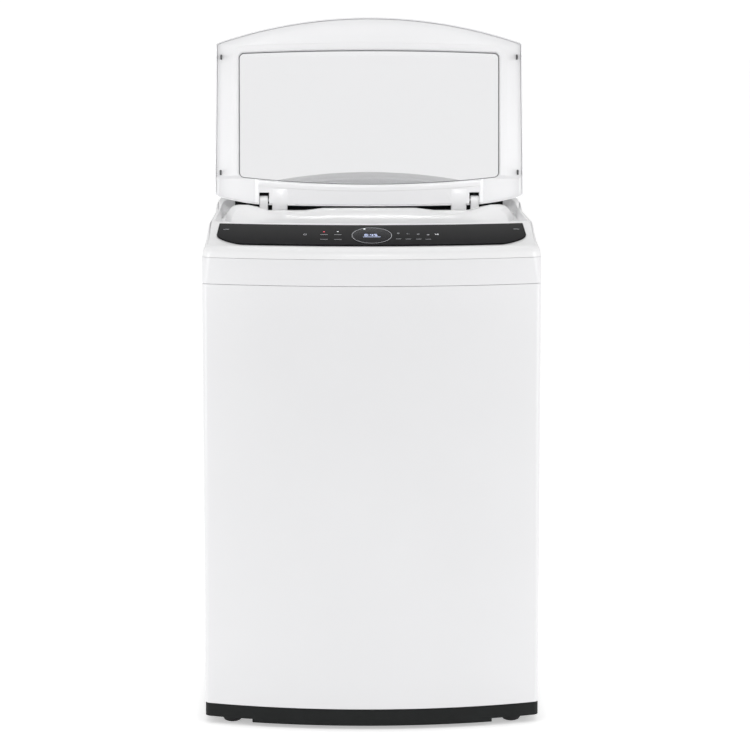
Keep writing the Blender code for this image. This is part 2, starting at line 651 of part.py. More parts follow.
def make_tub():
    """The outer tub, its top ring, and the steel bracket with four arms that the springs carry."""
    axis = empty("tub_axis", (0.0, 0.0, 0.0))
    wall = 0.003
    inner = TUB_RADIUS - wall
    tub = [(0.045, TUB_BOTTOM), (0.240, TUB_BOTTOM), (TUB_RADIUS, TUB_BOTTOM + 0.016), (TUB_RADIUS, TUB_TOP),
           (inner, TUB_TOP), (inner, TUB_BOTTOM + 0.0175), (0.2385, TUB_BOTTOM + 0.0035),
           (0.045, TUB_BOTTOM + 0.0035)]
    add_lathe("outer_tub", tub, "tub_grey", parent=axis)
    low = TUB_TOP + GAP
    ring = [(0.212, 0.7860), (0.224, 0.7905), (0.2645, 0.7890), (0.2645, low), (0.2590, low),
            (0.2590, 0.7850),
            (0.226, 0.7865), (0.2132, 0.7825)]
    add_lathe("tub_ring", ring, "ring_white", parent=axis)
    top = TUB_BOTTOM - 0.0035
    section = ((0.0455, ARM_Z), (0.125, ARM_Z), (0.125, top), (0.0455, top))
    rings = [[(x, y, z) for x, y in circle(r, 32)] for r, z in section]
    bracket = add_object("tub_bracket", rings_bmesh(rings, closed=True), "zinc_steel", axis)
    for x, y in rod_places():
        reach = math.hypot(x, y)
        along = Vector((x, y)) / reach
        across = Vector((-along.y, along.x))
        near, far = 0.085, reach + 0.020
        corners = [along * near - across * 0.028, along * far - across * 0.017, along * far + across * 0.017,
                   along * near + across * 0.028]
        combine(bracket, prism_bmesh([tuple(c) for c in corners], ARM_Z, ARM_Z + 0.0040), "UNION",
                parent=axis)
        hole = cylinder_bmesh(ROD_RADIUS + 0.0015, ARM_Z - 0.01, ARM_Z + 0.02, 12)
        combine(bracket, hole, "DIFFERENCE", parent=axis, location=(x, y, 0.0))
    return axis


def rod_places():
    return [(side * ROD_X, y) for y in (ROD_FRONT_Y, ROD_REAR_Y) for side in (-1, 1)]


def make_suspension():
    """Four rods with a head above the gusset and a cup at the foot, and the spring that stands in each cup."""
    places = dict(zip(("front_left", "front_right", "rear_left", "rear_right"), rod_places()))
    cup = 0.0190
    rod = [(0.0, ROD_FOOT_Z), (cup, ROD_FOOT_Z), (cup, 0.0825), (ROD_RADIUS, 0.0825), (ROD_RADIUS, 0.7612),
           (0.0120, 0.7612), (0.0120, 0.7670), (0.0070, 0.7720), (0.0, 0.7720)]
    wire, coil, turns, steps = 0.0018, 0.0140, 5, 8
    low, high = 0.0825 + GAP + wire, ARM_Z - GAP - wire
    count = turns * steps
    helix = [(coil * math.cos(2 * math.pi * i / steps), coil * math.sin(2 * math.pi * i / steps),
              low + (high - low) * i / count)
             for i in range(count + 1)]
    for corner, (x, y) in places.items():
        add_lathe("suspension_rod_" + corner, rod, "shaft_steel", location=(x, y, 0.0), sides=10)
        add_object("suspension_spring_" + corner, tube_bmesh(helix, wire, 4), "zinc_steel",
                   location=(x, y, 0.0))


def make_bearings(axis):
    """The housing in the tub's floor, two bearings on the spin shaft, the seal above them and the stator round it."""
    bore = SPIN_SHAFT_RADIUS + BORE
    seat, race = 0.0263, 0.0260
    housing = [(seat, 0.1500), (0.0360, 0.1500), (0.0360, 0.1800), (0.0700, 0.1830), (0.0700, 0.1889),
               (0.0446, 0.1889),
               (0.0446, 0.2046), (seat, 0.2046)]
    add_lathe("bearing_housing", housing, "aluminium", parent=axis, sides=SMALL_ROUND)
    for name, low, high, finish in (("upper_bearing", 0.1890, 0.2015, "shaft_steel"),
                                    ("lower_bearing", 0.1585, 0.1710, "shaft_steel"),
                                    ("water_seal", 0.2019, 0.2045, "rubber_dark")):
        race_ring = [(bore, low), (race, low), (race, high), (bore, high)]
        add_lathe(name, race_ring, finish, parent=axis, sides=SMALL_ROUND)
    outline = []
    for i in range(18):
        for turn, radius in ((-0.80, 0.070), (-0.60, 0.104), (0.60, 0.104), (0.80, 0.070)):
            angle = math.pi * (2 * i + turn) / 18
            outline.append((radius * math.cos(angle), radius * math.sin(angle)))
    inner = [tuple(0.0365 * Vector(p).normalized()) for p in outline]
    low, high = 0.1520, 0.1760
    section = ((outline, low), (outline, high), (inner, high), (inner, low))
    rings = [[(x, y, z) for x, y in points] for points, z in section]
    add_object("motor_stator", rings_bmesh(rings, closed=True), "copper_coil", axis)


def make_drum(parent):
    """The wash drum with its balance ring, hub, hollow shaft and two lint filters."""
    axis = empty("drum_axis", (0.0, 0.0, 0.0))
    axis.parent = parent
    skin = 0.0015
    inner = DRUM_RADIUS - skin
    drum = [(0.030, DRUM_BOTTOM), (0.225, DRUM_BOTTOM), (0.2380, DRUM_BOTTOM + 0.0055),
            (DRUM_RADIUS, DRUM_BOTTOM + 0.018),
            (DRUM_RADIUS, DRUM_TOP), (inner, DRUM_TOP), (inner, DRUM_BOTTOM + 0.0185),
            (0.2368, DRUM_BOTTOM + 0.0066),
            (0.2244, DRUM_BOTTOM + skin), (0.030, DRUM_BOTTOM + skin)]
    add_lathe("wash_drum", drum, "drum_steel", parent=axis)
    low = DRUM_TOP + GAP
    ring = [(0.2120, low), (DRUM_RADIUS, low), (DRUM_RADIUS, 0.7720), (0.2385, 0.7780), (0.2180, 0.7785),
            (0.2065, 0.7735),
            (0.2025, 0.7600), (0.2045, 0.7400)]
    add_lathe("balance_ring", ring, "ring_white", parent=axis)
    bore = SPIN_SHAFT_RADIUS + BORE
    hub = [(bore, 0.2062), (0.0300, 0.2062), (0.0340, 0.2190), (0.1000, 0.2240), (0.1000, DRUM_BOTTOM - GAP),
           (bore, DRUM_BOTTOM - GAP)]
    add_lathe("drum_hub", hub, "aluminium", parent=axis, sides=SMALL_ROUND)
    hole = PULSATOR_SHAFT_RADIUS + BORE
    shaft = [(hole, 0.1300 + 0.0145), (SPIN_SHAFT_RADIUS, 0.1445), (SPIN_SHAFT_RADIUS, 0.2335),
             (hole, 0.2335)]
    add_lathe("spin_shaft", shaft, "shaft_steel", parent=axis, sides=SMALL_ROUND)
    for name, middle in (("lint_filter_left", math.pi), ("lint_filter_right", 0.0)):
        spread, steps, out, inward = math.radians(10.5), 6, inner - 0.0020, inner - 0.0150
        turns = [middle - spread + 2 * spread * i / steps for i in range(steps + 1)]
        outline = [(out * math.cos(a), out * math.sin(a)) for a in turns]
        outline += [(inward * math.cos(a), inward * math.sin(a)) for a in reversed(turns[1:-1])]
        add_object(name, prism_bmesh(outline, 0.470, 0.640), "filter_blue", axis)
    return axis


def make_pulsator(parent):
    """The finned plate at the drum's bottom, its bolt, its shaft with a foot under the rotor, and that rotor."""
    axis = empty("pulsator_axis", (0.0, 0.0, 0.0))
    axis.parent = parent
    hole = PULSATOR_SHAFT_RADIUS + BORE
    plate = [(hole, 0.2390), (0.1650, 0.2370), (0.1680, 0.2400), (0.1660, 0.2440), (0.1450, 0.2490),
             (0.0900, 0.2560),
             (0.0520, 0.2680), (0.0380, 0.2780), (0.0220, 0.2810), (hole, 0.2810)]
    pulsator = add_lathe("pulsator", plate, "pulsator_grey", parent=axis)
    vanes = 6
    for i in range(vanes):
        fin = fin_bmesh(2 * math.pi * i / vanes)
        combine(pulsator, fin, "UNION", parent=axis)
    shaft = [(0.0, 0.1240), (0.0130, 0.1240), (0.0130, 0.1330), (PULSATOR_SHAFT_RADIUS, 0.1330),
             (PULSATOR_SHAFT_RADIUS, 0.2640), (0.0, 0.2640)]
    add_lathe("pulsator_shaft", shaft, "shaft_steel", parent=axis, sides=SMALL_ROUND)
    bolt = [(0.0, 0.2645), (0.0060, 0.2645), (0.0060, 0.2814), (0.0120, 0.2814), (0.0120, 0.2850),
            (0.0085, 0.2875), (0.0, 0.2880)]
    add_lathe("pulsator_bolt", bolt, "shaft_steel", parent=axis, sides=16)
    rotor = [(hole, 0.1335), (0.0230, 0.1335), (0.0230, 0.1395), (0.1130, 0.1395), (0.1180, 0.1440),
             (0.1180, 0.1820),
             (0.1085, 0.1820), (0.1085, 0.1440), (0.0230, 0.1440), (hole, 0.1440)]
    add_lathe("motor_rotor", rotor, "zinc_steel", parent=axis)


def fin_bmesh(turn):
    """One curved vane of the pulsator, low at the rim and high at the centre."""
    stations = ((0.030, 0.0100, 0.2860), (0.060, 0.0085, 0.2800), (0.095, 0.0075, 0.2730),
                (0.130, 0.0070, 0.2640), (0.156, 0.0065, 0.2520))
    rings = []
    for radius, half, top in stations:
        sweep = turn + 2.6 * (radius - 0.030)
        out, across = Vector((math.cos(sweep), math.sin(sweep), 0)), Vector((-math.sin(sweep),
                                                                             math.cos(sweep), 0))
        centre = out * radius
        section = ((-half, 0.2405), (half, 0.2405), (half * 0.55, top), (-half * 0.55, top))
        rings.append([tuple(centre + across * a + Vector((0, 0, z))) for a, z in section])
    return rings_bmesh(rings, closed=False)


def make_clutch(parent):
    """The splined ring that locks the rotor to the hollow shaft for spinning."""
    axis = empty("clutch_axis", (0.0, 0.0, 0.0))
    axis.parent = parent
    bore = SPIN_SHAFT_RADIUS + BORE
    ring = [(bore, 0.1446), (0.0240, 0.1446), (0.0240, 0.1480), (0.0205, 0.1500), (bore, 0.1500)]
    add_lathe("clutch_coupler", ring, "shaft_steel", parent=axis, sides=SMALL_ROUND)


def make_pump(parent):
    """The drain pump under the tub's floor and the hose from it up to the stub in the rear panel."""
    body = [(0.0, 0.1350), (0.0330, 0.1350), (0.0350, 0.1380), (0.0350, 0.1720), (0.0300, 0.1760),
            (0.0180, 0.1780),
            (0.0180, 0.1990), (0.0, 0.1990)]
    place = (PUMP_X, PUMP_Y, 0.0)
    pump = add_lathe("drain_pump", body, "tub_grey", parent=parent, location=place, sides=20)
    outlet = cylinder_bmesh(0.0100, 0.020, PUMP_OUTLET, 16, along="Y")
    combine(pump, outlet, "UNION", parent=parent, location=(PUMP_X, PUMP_Y, 0.1520))
    motor = cylinder_bmesh(0.0190, -0.060, -0.020, 16, along="Y")
    combine(pump, motor, "UNION", parent=parent, location=(PUMP_X, PUMP_Y, 0.1555))
    start_y = PUMP_Y + PUMP_OUTLET + 0.0010
    route = ((PUMP_X, start_y, 0.1520), (PUMP_X, start_y + 0.040, 0.1515), (-0.188, 0.160, 0.1430),
             (-0.190, 0.215, 0.1480), (DRAIN_X, 0.255, 0.1850), (DRAIN_X, 0.266, 0.2500),
             (DRAIN_X, 0.266, 0.4500),
             (DRAIN_X, 0.260, 0.6300), (DRAIN_X, 0.265, 0.6760), (DRAIN_X, 0.2790, DRAIN_Z),
             (DRAIN_X, BACK_Y - 0.0105, DRAIN_Z))
    add_object("drain_hose", tube_bmesh(smooth_line(route, 4), 0.0110, 7), "hose_grey")


PUMP_X, PUMP_Y, PUMP_OUTLET = -0.180, 0.0, 0.060


def smooth_line(points, steps):
    """A Catmull-Rom curve through the points."""
    knots = [Vector(p) for p in points]
    knots = [2 * knots[0] - knots[1], *knots, 2 * knots[-1] - knots[-2]]
    line = []
    for a, b, c, d in zip(knots, knots[1:], knots[2:], knots[3:]):
        for i in range(steps):
            t = i / steps
            line.append(0.5 * (2 * b + (c - a) * t + (2 * a - 5 * b + 4 * c - d) * t * t
                               + (3 * b - a - 3 * c + d) * t ** 3))
    return [*line, knots[-2]]


# ---------------------------------------------------------------- lid


def lid_plan(inset=0.0):
    """The lid seen from above when shut and level, with its hinge axis at y = 0."""
    return Plan(LID_HALF, -LID_LENGTH, LID_REAR, LID_CORNER, LID_BOW, LID_REAR_BOW, -0.165).inset(inset)


def window_plan(grow=0.0):
    plan = Plan(WINDOW_HALF, WINDOW_FRONT, WINDOW_REAR, 0.010, WINDOW_FRONT_BOW, WINDOW_REAR_BOW, -0.165)
    return plan.inset(-grow)


def lid_ring(plan, z):
    return [(x, y, z) for x, y in plan.points(LID_ANGLES)]


def make_lid():
    """The lid: an outer cover, an inner frame, the pane between them, its hinge pins and four bumpers."""
    axis = empty("lid_axis", (0.0, HINGE_Y, HINGE_Z), -(90.0 + LID_LEAN))
    glass_top = LID_GLASS_LOW + LID_GLASS_THICK
    joint_z = LID_GLASS_LOW
    pane_edge = 0.008
    outer = [lid_ring(lid_plan(), LID_RIM_LOW), lid_ring(lid_plan(), LID_TOP - 0.0060),
             lid_ring(lid_plan(0.0012), LID_TOP - 0.0035),
             lid_ring(lid_plan(0.0050), LID_TOP - 0.0020), lid_ring(window_plan(0.003), LID_TOP),
             lid_ring(window_plan(), LID_TOP - 0.0008),
             lid_ring(window_plan(), glass_top + GAP), lid_ring(window_plan(pane_edge + 0.0006),
                                                                glass_top + GAP),
             lid_ring(window_plan(pane_edge + 0.0006), joint_z + GAP),
             lid_ring(lid_plan(0.0025), joint_z + GAP),
             lid_ring(lid_plan(0.0025), LID_RIM_LOW)]
    cover = add_object("lid_outer", rings_bmesh(outer, closed=True), "lid_white", axis)
    frame = [lid_ring(lid_plan(0.0030), LID_INNER_LOW), lid_ring(lid_plan(0.0030), joint_z),
             lid_ring(window_plan(0.0), joint_z),
             lid_ring(window_plan(0.0), LID_INNER_LOW + 0.008), lid_ring(window_plan(0.004), LID_INNER_LOW)]
    inner = add_object("lid_inner", rings_bmesh(frame, closed=True), "lid_white", axis)
    pane = [lid_ring(window_plan(pane_edge), joint_z + GAP), lid_ring(window_plan(pane_edge), glass_top)]
    add_object("lid_glass", rings_bmesh(pane, closed=False), "glass_grey", axis)
    tab_x = (0.153, POST_X - 0.0125)
    notch_x = (POST_X - 0.0125, POST_X + 0.0125)
    for side in (-1, 1):
        tab = box_span(tab_x, side, (-0.020, 0.0195), (LID_INNER_LOW, joint_z))
        combine(inner, tab, "UNION", parent=axis)
        clearance = box_span((tab_x[0] - 0.0005, tab_x[1] + 0.001), side, (-0.012, 0.060),
                             (-0.060, joint_z + GAP))
        combine(cover, clearance, "DIFFERENCE", parent=axis)
        for piece in (cover, inner):
            notch = box_span(notch_x, side, (-0.019, 0.060), (-0.060, 0.060))
            combine(piece, notch, "DIFFERENCE", parent=axis)
        ends = sorted((side * 0.1665, side * 0.190))
        combine(inner, cylinder_bmesh(PIN_HOLE, *ends, 12, along="X"), "DIFFERENCE", parent=axis)
        ends = sorted((side * 0.1680, side * 0.2105))
        name = "hinge_pin_left" if side < 0 else "hinge_pin_right"
        add_object(name, cylinder_bmesh(PIN_RADIUS, *ends, 12, along="X"), "shaft_steel", axis)
    for name, x, y in (("lid_bumper_front_left", -0.281, -0.266), ("lid_bumper_front_right", 0.281, -0.266),
                       ("lid_bumper_rear_left", -0.281, -0.048), ("lid_bumper_rear_right", 0.281, -0.048)):
        low = (x - 0.0022, y - 0.0055, RIM_Z + 0.0006 - HINGE_Z)
        high = (x + 0.0022, y + 0.0055, LID_INNER_LOW - GAP)
        add_box(name, low, high, "rubber_dark", parent=axis, bevel=0.0012)


def box_span(xs, side, ys, zs):
    """A box given by its spans, mirrored to the left where side is -1."""
    low, high = sorted((side * xs[0], side * xs[1]))
    return box_bmesh((low, ys[0], zs[0]), (high, ys[1], zs[1]))


def make_hinge_posts():
    """Two posts that stand in the trough behind the ledge and carry the lid's pins."""
    foot_z = TROUGH_Z + GAP
    arc = [(POST_RADIUS * math.cos(a), HINGE_Z + POST_RADIUS * math.sin(a))
           for a in (math.pi * i / 8 for i in range(9))]
    outline = [(POST_RADIUS, foot_z), *arc, (-POST_RADIUS, foot_z)]
    for name, side in (("hinge_post_left", -1), ("hinge_post_right", 1)):
        xs = (side * POST_X - POST_WIDTH / 2, side * POST_X + POST_WIDTH / 2)
        rings = [[(x, HINGE_Y + y, z) for y, z in outline] for x in xs]
        post = add_object(name, rings_bmesh(rings, closed=False), "cover_white")
        hole = cylinder_bmesh(PIN_HOLE, xs[0] - 0.01, xs[1] + 0.01, 12, along="X")
        combine(post, hole, "DIFFERENCE", location=(0.0, HINGE_Y, HINGE_Z))


def make_lid_lock():
    """The sealed lock and switch under the front shoulder, which senses the lid and bolts it shut."""
    add_box("lid_lock", (0.225, -0.105, 0.806), (0.262, -0.045, 0.840), "tub_grey", bevel=0.002)


def main():
    clear_scene()
    make_cabinet()
    make_rear_panel()
    make_base()
    make_feet()
    make_collar()
    make_top_cover()
    make_fascia()
    make_inlets()
    make_rear_fittings()
    make_drawer()
    tub_axis = make_tub()
    make_suspension()
    make_bearings(tub_axis)
    drum_axis = make_drum(tub_axis)
    make_pulsator(drum_axis)
    make_clutch(drum_axis)
    make_pump(tub_axis)
    make_lid()
    make_hinge_posts()
    make_lid_lock()


main()
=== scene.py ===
"""Looks of the top-load washing machine: finer pieces, their materials, the light and the camera."""

import json
import math

import bmesh
import bpy
from mathutils import Matrix, Vector


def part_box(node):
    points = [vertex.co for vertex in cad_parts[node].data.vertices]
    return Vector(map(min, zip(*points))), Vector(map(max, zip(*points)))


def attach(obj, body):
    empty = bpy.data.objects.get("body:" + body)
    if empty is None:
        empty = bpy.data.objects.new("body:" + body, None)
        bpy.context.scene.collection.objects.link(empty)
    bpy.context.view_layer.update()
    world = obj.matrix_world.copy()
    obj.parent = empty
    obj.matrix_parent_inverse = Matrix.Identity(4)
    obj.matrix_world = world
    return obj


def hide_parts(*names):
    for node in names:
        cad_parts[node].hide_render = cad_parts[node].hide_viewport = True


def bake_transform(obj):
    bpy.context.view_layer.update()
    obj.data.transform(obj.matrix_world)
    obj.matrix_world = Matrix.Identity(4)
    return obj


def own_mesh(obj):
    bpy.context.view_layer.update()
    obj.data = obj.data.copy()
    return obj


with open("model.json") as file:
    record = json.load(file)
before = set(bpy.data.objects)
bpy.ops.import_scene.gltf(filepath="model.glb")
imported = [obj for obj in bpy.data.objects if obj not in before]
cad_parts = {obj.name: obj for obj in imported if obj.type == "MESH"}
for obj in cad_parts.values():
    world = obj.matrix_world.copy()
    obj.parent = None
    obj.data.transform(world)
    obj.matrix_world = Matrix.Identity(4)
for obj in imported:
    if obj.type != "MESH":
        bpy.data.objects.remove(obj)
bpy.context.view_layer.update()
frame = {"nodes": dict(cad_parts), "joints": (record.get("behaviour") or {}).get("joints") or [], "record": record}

# ---------------------------------------------------------------- places taken from the frame

CASE_LOW, CASE_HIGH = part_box("cabinet_shell")
HALF_W, FRONT_Y, BACK_Y = CASE_HIGH.x, CASE_LOW.y, CASE_HIGH.y
CABINET_BOTTOM, CABINET_TOP = CASE_LOW.z, CASE_HIGH.z
COLLAR_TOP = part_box("collar_band")[1].z
JOINTS = {joint["name"]: joint for joint in frame["joints"]}
HINGE = Vector(JOINTS["lid_hinge"]["pos_m"])
LID_OPEN = math.radians(-95.0)
LID_TURN = Matrix.Translation(HINGE) @ Matrix.Rotation(LID_OPEN, 4, "X")
SIDES = (("left", -1), ("right", 1))

# The casing's outline and the top cover's levels
BOW_RADIUS = 0.82
CORNER_RADIUS = 0.014
COLLAR_CORNER_RADIUS = 0.026
SHEET = 0.0012
WALL = 0.0025
GAP = 0.0004
RIM_Z = 0.88
TROUGH_Z = 0.858
HUMP_Z = 0.941
HUMP_FRONT_Y = 0.165
CROWN_RADIUS = 1.0
FASCIA_FRONT, FASCIA_REAR = 0.02, 0.108
FASCIA_FRONT_Z, FASCIA_REAR_Z = 0.8455, 0.8743
PANEL_FRONT = FASCIA_FRONT + 0.005
MARK_HEIGHT = 0.00012
FASCIA_LIFT = 0.0029  # the panel's face above the slope that it lies on
FASCIA_TILT = math.atan2(FASCIA_REAR_Z - FASCIA_FRONT_Z, FASCIA_REAR - FASCIA_FRONT)


# ---------------------------------------------------------------- mesh helpers


def sagitta(x, radius):
    return radius - math.sqrt(radius * radius - x * x)


def smooth(value):
    held = max(0.0, min(1.0, value))
    return held * held * (3 - 2 * held)


class Outline:
    """A plan outline: straight sides, a bowed front, a straight or bowed rear, and true fillets."""

    def __init__(self, half, front, rear, corner, front_radius=BOW_RADIUS, rear_radius=None):
        self.half, self.front, self.rear, self.corner = half, front, rear, corner
        self.front_radius, self.rear_radius = front_radius, rear_radius

    def inset(self, by):
        corner = max(self.corner - by, 0.0012)
        return Outline(self.half - by, self.front + by, self.rear - by, corner, self.front_radius,
                       self.rear_radius)

    def front_at(self, x):
        return self.front + sagitta(x, self.front_radius)

    def right_half(self, arc, turn, side, back):
        """Points from the middle of the front round the right-hand side to the middle of the rear."""
        r, cx = self.corner, self.half - self.corner
        centre = self.front + self.front_radius
        front_y = centre - math.sqrt((self.front_radius - r) ** 2 - cx * cx)
        start = math.atan2(front_y - centre, cx)
        reach = self.front_radius * math.cos(start)
        points = [(reach * i / arc, self.front_at(reach * i / arc)) for i in range(arc)]
        points += [(cx + r * math.cos(start * (1 - i / turn)), front_y + r * math.sin(start * (1 - i / turn)))
                   for i in range(turn)]
        if self.rear_radius:
            middle = self.rear - self.rear_radius
            rear_y = middle + math.sqrt((self.rear_radius - r) ** 2 - cx * cx)
            end = math.atan2(rear_y - middle, cx)
        else:
            rear_y, end = self.rear - r, math.pi / 2
        points += [(self.half, front_y + (rear_y - front_y) * i / side) for i in range(side)]
        points += [(cx + r * math.cos(end * i / turn), rear_y + r * math.sin(end * i / turn))
                   for i in range(turn)]
        far = cx + r * math.cos(end)
        for i in range(back + 1):
            x = far * (1 - i / back)
            points.append((x, self.rear - (sagitta(x, self.rear_radius) if self.rear_radius else 0.0)))
        return points

    def points(self, arc=16, turn=8, side=24, back=14):
        right = self.right_half(arc, turn, side, back)
        return right + [(-x, y) for x, y in reversed(right[1:-1])]


def case_outline(corner=CORNER_RADIUS, inset=0.0):
    return Outline(HALF_W, FRONT_Y, BACK_Y, corner).inset(inset)


def level(points, z):
    return [Vector((x, y, z)) for x, y in points]


def rounded(points, radii, steps=4, closed=False):
    """A line of points with its corners eased. A radius is how far from its corner the curve begins."""
    made = []
    for i, corner in enumerate(points):
        ends = not closed and i in (0, len(points) - 1)
        if not radii[i] or ends:
            made.append(corner)
            continue
        before, after = points[i - 1] - corner, points[(i + 1) % len(points)] - corner
        before *= min(radii[i] / max(before.length, 1e-9), 0.45)
        after *= min(radii[i] / max(after.length, 1e-9), 0.45)
        for step in range(steps + 1):
            t = step / steps
            made.append(corner + before * (1 - t) ** 2 + after * t * t)
    return made


def soft_rings(rings, radii, steps=4, closed=False):
    """Rings of equally many points, with the edges between their bands eased."""
    columns = [rounded([ring[j] for ring in rings], radii, steps, closed) for j in range(len(rings[0]))]
    return [list(row) for row in zip(*columns)]


def skin(rings, closed=False, caps=True, around=True):
    """Faces between neighbouring rings. Closed joins the last ring to the first; caps close both ends."""
    bm = bmesh.new()
    loops = [[bm.verts.new(p) for p in ring] for ring in rings]
    count = len(rings[0])
    pairs = list(zip(loops, loops[1:]))
    if closed:
        pairs.append((loops[-1], loops[0]))
    for low, high in pairs:
        for i in range(count if around else count - 1):
            j = (i + 1) % count
            bm.faces.new((low[i], low[j], high[j], high[i]))
    if caps and not closed:
        bm.faces.new(loops[0])
        bm.faces.new(loops[-1])
    return bm


def mm(*points):
    """A profile given in millimetres as (radius, z)."""
    return [(r / 1000, z / 1000) for r, z in points]


def circle(radius, sides, start=0.0):
    return [(radius * math.cos(start + 2 * math.pi * i / sides),
             radius * math.sin(start + 2 * math.pi * i / sides))
            for i in range(sides)]


def lathe(profile, sides=96, ease=0.0008, steps=3):
    """Turns a profile of (radius, z) round Z, its edges eased. One that ends on the axis is a solid."""
    on_axis = profile[0][0] == 0.0
    line = [Vector((r, z, 0.0)) for r, z in profile]
    line = rounded(line, [ease] * len(line), steps, closed=not on_axis)
    turned = line[1:-1] if on_axis else line
    bm = skin([level(circle(p.x, sides), p.y) for p in turned], closed=not on_axis)
    if on_axis:
        ends = [f for f in bm.faces if len(f.verts) == sides]
        tips = bmesh.ops.poke(bm, faces=ends)["verts"]
        for tip, z in zip(tips, (line[0].y, line[-1].y)):
            tip.co.z = z
    return bm


def block(low, high, ease=0.0, segments=3):
    """A box with eased edges."""
    outline = ((low[0], low[1]), (high[0], low[1]), (high[0], high[1]), (low[0], high[1]))
    bm = skin([level(outline, low[2]), level(outline, high[2])])
    if ease:
        bmesh.ops.bevel(bm, geom=bm.edges[:], offset=ease, segments=segments, affect="EDGES", profile=0.5)
    return bm


def prism(outline, low, high, ease=0.0):
    bm = skin([level(outline, low), level(outline, high)])
    if ease:
        rims = [e for e in bm.edges if abs(e.verts[0].co.z - e.verts[1].co.z) < 1e-7]
        bmesh.ops.bevel(bm, geom=rims, offset=ease, segments=3, affect="EDGES", profile=0.5)
    return bm


def rod(radius, low, high, sides=32, along="Z", ease=0.0):
    rings = [level(circle(radius, sides), z) for z in (low, high)]
    if ease:
        rings = [level(circle(radius - ease, sides), low), level(circle(radius, sides), low + ease),
                 level(circle(radius, sides), high - ease), level(circle(radius - ease, sides), high)]
    bm = skin(rings)
    turn = {"X": Matrix(((0, 0, 1), (1, 0, 0), (0, 1, 0))), "Y": Matrix(((0, 1, 0), (0, 0, 1), (1, 0, 0))),
            "Z": Matrix.Identity(3)}[along]
    bmesh.ops.transform(bm, matrix=turn.to_4x4(), verts=bm.verts)
    return bm


def tube(path, radius, sides=16, caps=True):
    """A round tube along points. The radius is a number, or a function of the point's index."""
    points = [Vector(p) for p in path]
    size = radius if callable(radius) else lambda i: radius
    rings, side = [], None
    for i, point in enumerate(points):
        ahead = (points[min(i + 1, len(points) - 1)] - points[max(i - 1, 0)]).normalized()
        side = ahead.orthogonal() if side is None else side
        side = (side - ahead * side.dot(ahead)).normalized()
        other = ahead.cross(side)
        rings.append([point + side * x + other * y for x, y in circle(size(i), sides)])
    return skin(rings, caps=caps)


def joined(*parts):
    """Several meshes as one, each left as its own shell."""
    whole = bmesh.new()
    for part in parts:
        scratch = bpy.data.meshes.new("scratch")
        part.to_mesh(scratch)
        part.free()
        whole.from_mesh(scratch)
        bpy.data.meshes.remove(scratch)
    return whole


def moved(bm, matrix):
    bmesh.ops.transform(bm, matrix=matrix, verts=bm.verts)
    return bm


def at(x, y, z):
    return Matrix.Translation((x, y, z))


def turned(angle, axis="Z"):
    return Matrix.Rotation(angle, 4, axis)


def around(count, start=0.0):
    """Turns round Z that share out a full circle. Start is the first one's part of a step."""
    return [turned(2 * math.pi * (i + start) / count) for i in range(count)]


def copies(bm, places):
    """One mesh made of a shape set down at each of the given matrices."""
    made = joined(*[moved(bm.copy(), place) for place in places])
    bm.free()
    return made


def make_object(name, bm, sharp=32.0):
    bmesh.ops.recalc_face_normals(bm, faces=bm.faces)
    if all(edge.is_manifold for edge in bm.edges) and bm.calc_volume(signed=True) < 0:
        bmesh.ops.reverse_faces(bm, faces=bm.faces)
    mesh = bpy.data.meshes.new(name)
    bm.to_mesh(mesh)
    bm.free()
    mesh.shade_smooth()
    mesh.set_sharp_from_angle(angle=math.radians(sharp))
    made = bpy.data.objects.new(name, mesh)
    bpy.context.scene.collection.objects.link(made)
    return made


def combine(target, tool_bmesh, operation="DIFFERENCE"):
    """Cuts or joins a helper shape at once, and removes the helper."""
    tool = make_object("tool", tool_bmesh)
    step = target.modifiers.new("combine", "BOOLEAN")
    step.operation, step.object, step.solver = operation, tool, "EXACT"
    bake_modifiers(target)
    bpy.data.objects.remove(tool)


def taken(made):
    """An object's mesh for use in another shape. The object itself goes."""
    bm = bmesh.new()
    bm.from_mesh(made.data)
    bpy.data.objects.remove(made)
    return bm


def bake_modifiers(target, sharp=32.0):
    graph = bpy.context.evaluated_depsgraph_get()
    mesh = bpy.data.meshes.new_from_object(target.evaluated_get(graph))
    target.modifiers.clear()
    old = target.data
    target.data = mesh
    bpy.data.meshes.remove(old)
    mesh.shade_smooth()
    mesh.set_sharp_from_angle(angle=math.radians(sharp))


def thicken(target, thickness, offset=-1.0):
    wall = target.modifiers.new("wall", "SOLIDIFY")
    wall.thickness, wall.offset, wall.use_even_offset, wall.thickness_clamp = thickness, offset, True, 1.0
    bake_modifiers(target)


def settle(made, body, slot, replaces=(), turn=None, finish=""):
    """Makes a piece ride on its body in place of CAD nodes. Its material is its slot's, unless finish names
    another one, or is None for a piece that has its own."""
    if turn is not None:
        made.data.transform(turn)
    if finish is not None:
        made.data.materials.clear()
        made.data.materials.append(FINISH[finish or slot])
    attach(made, body)
    if replaces:
        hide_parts(*([replaces] if isinstance(replaces, str) else replaces))
    return made


def piece(name, bm, body, slot, replaces=(), turn=None, finish=""):
    return settle(make_object(name, bm), body, slot, replaces, turn, finish)


# ---------------------------------------------------------------- materials


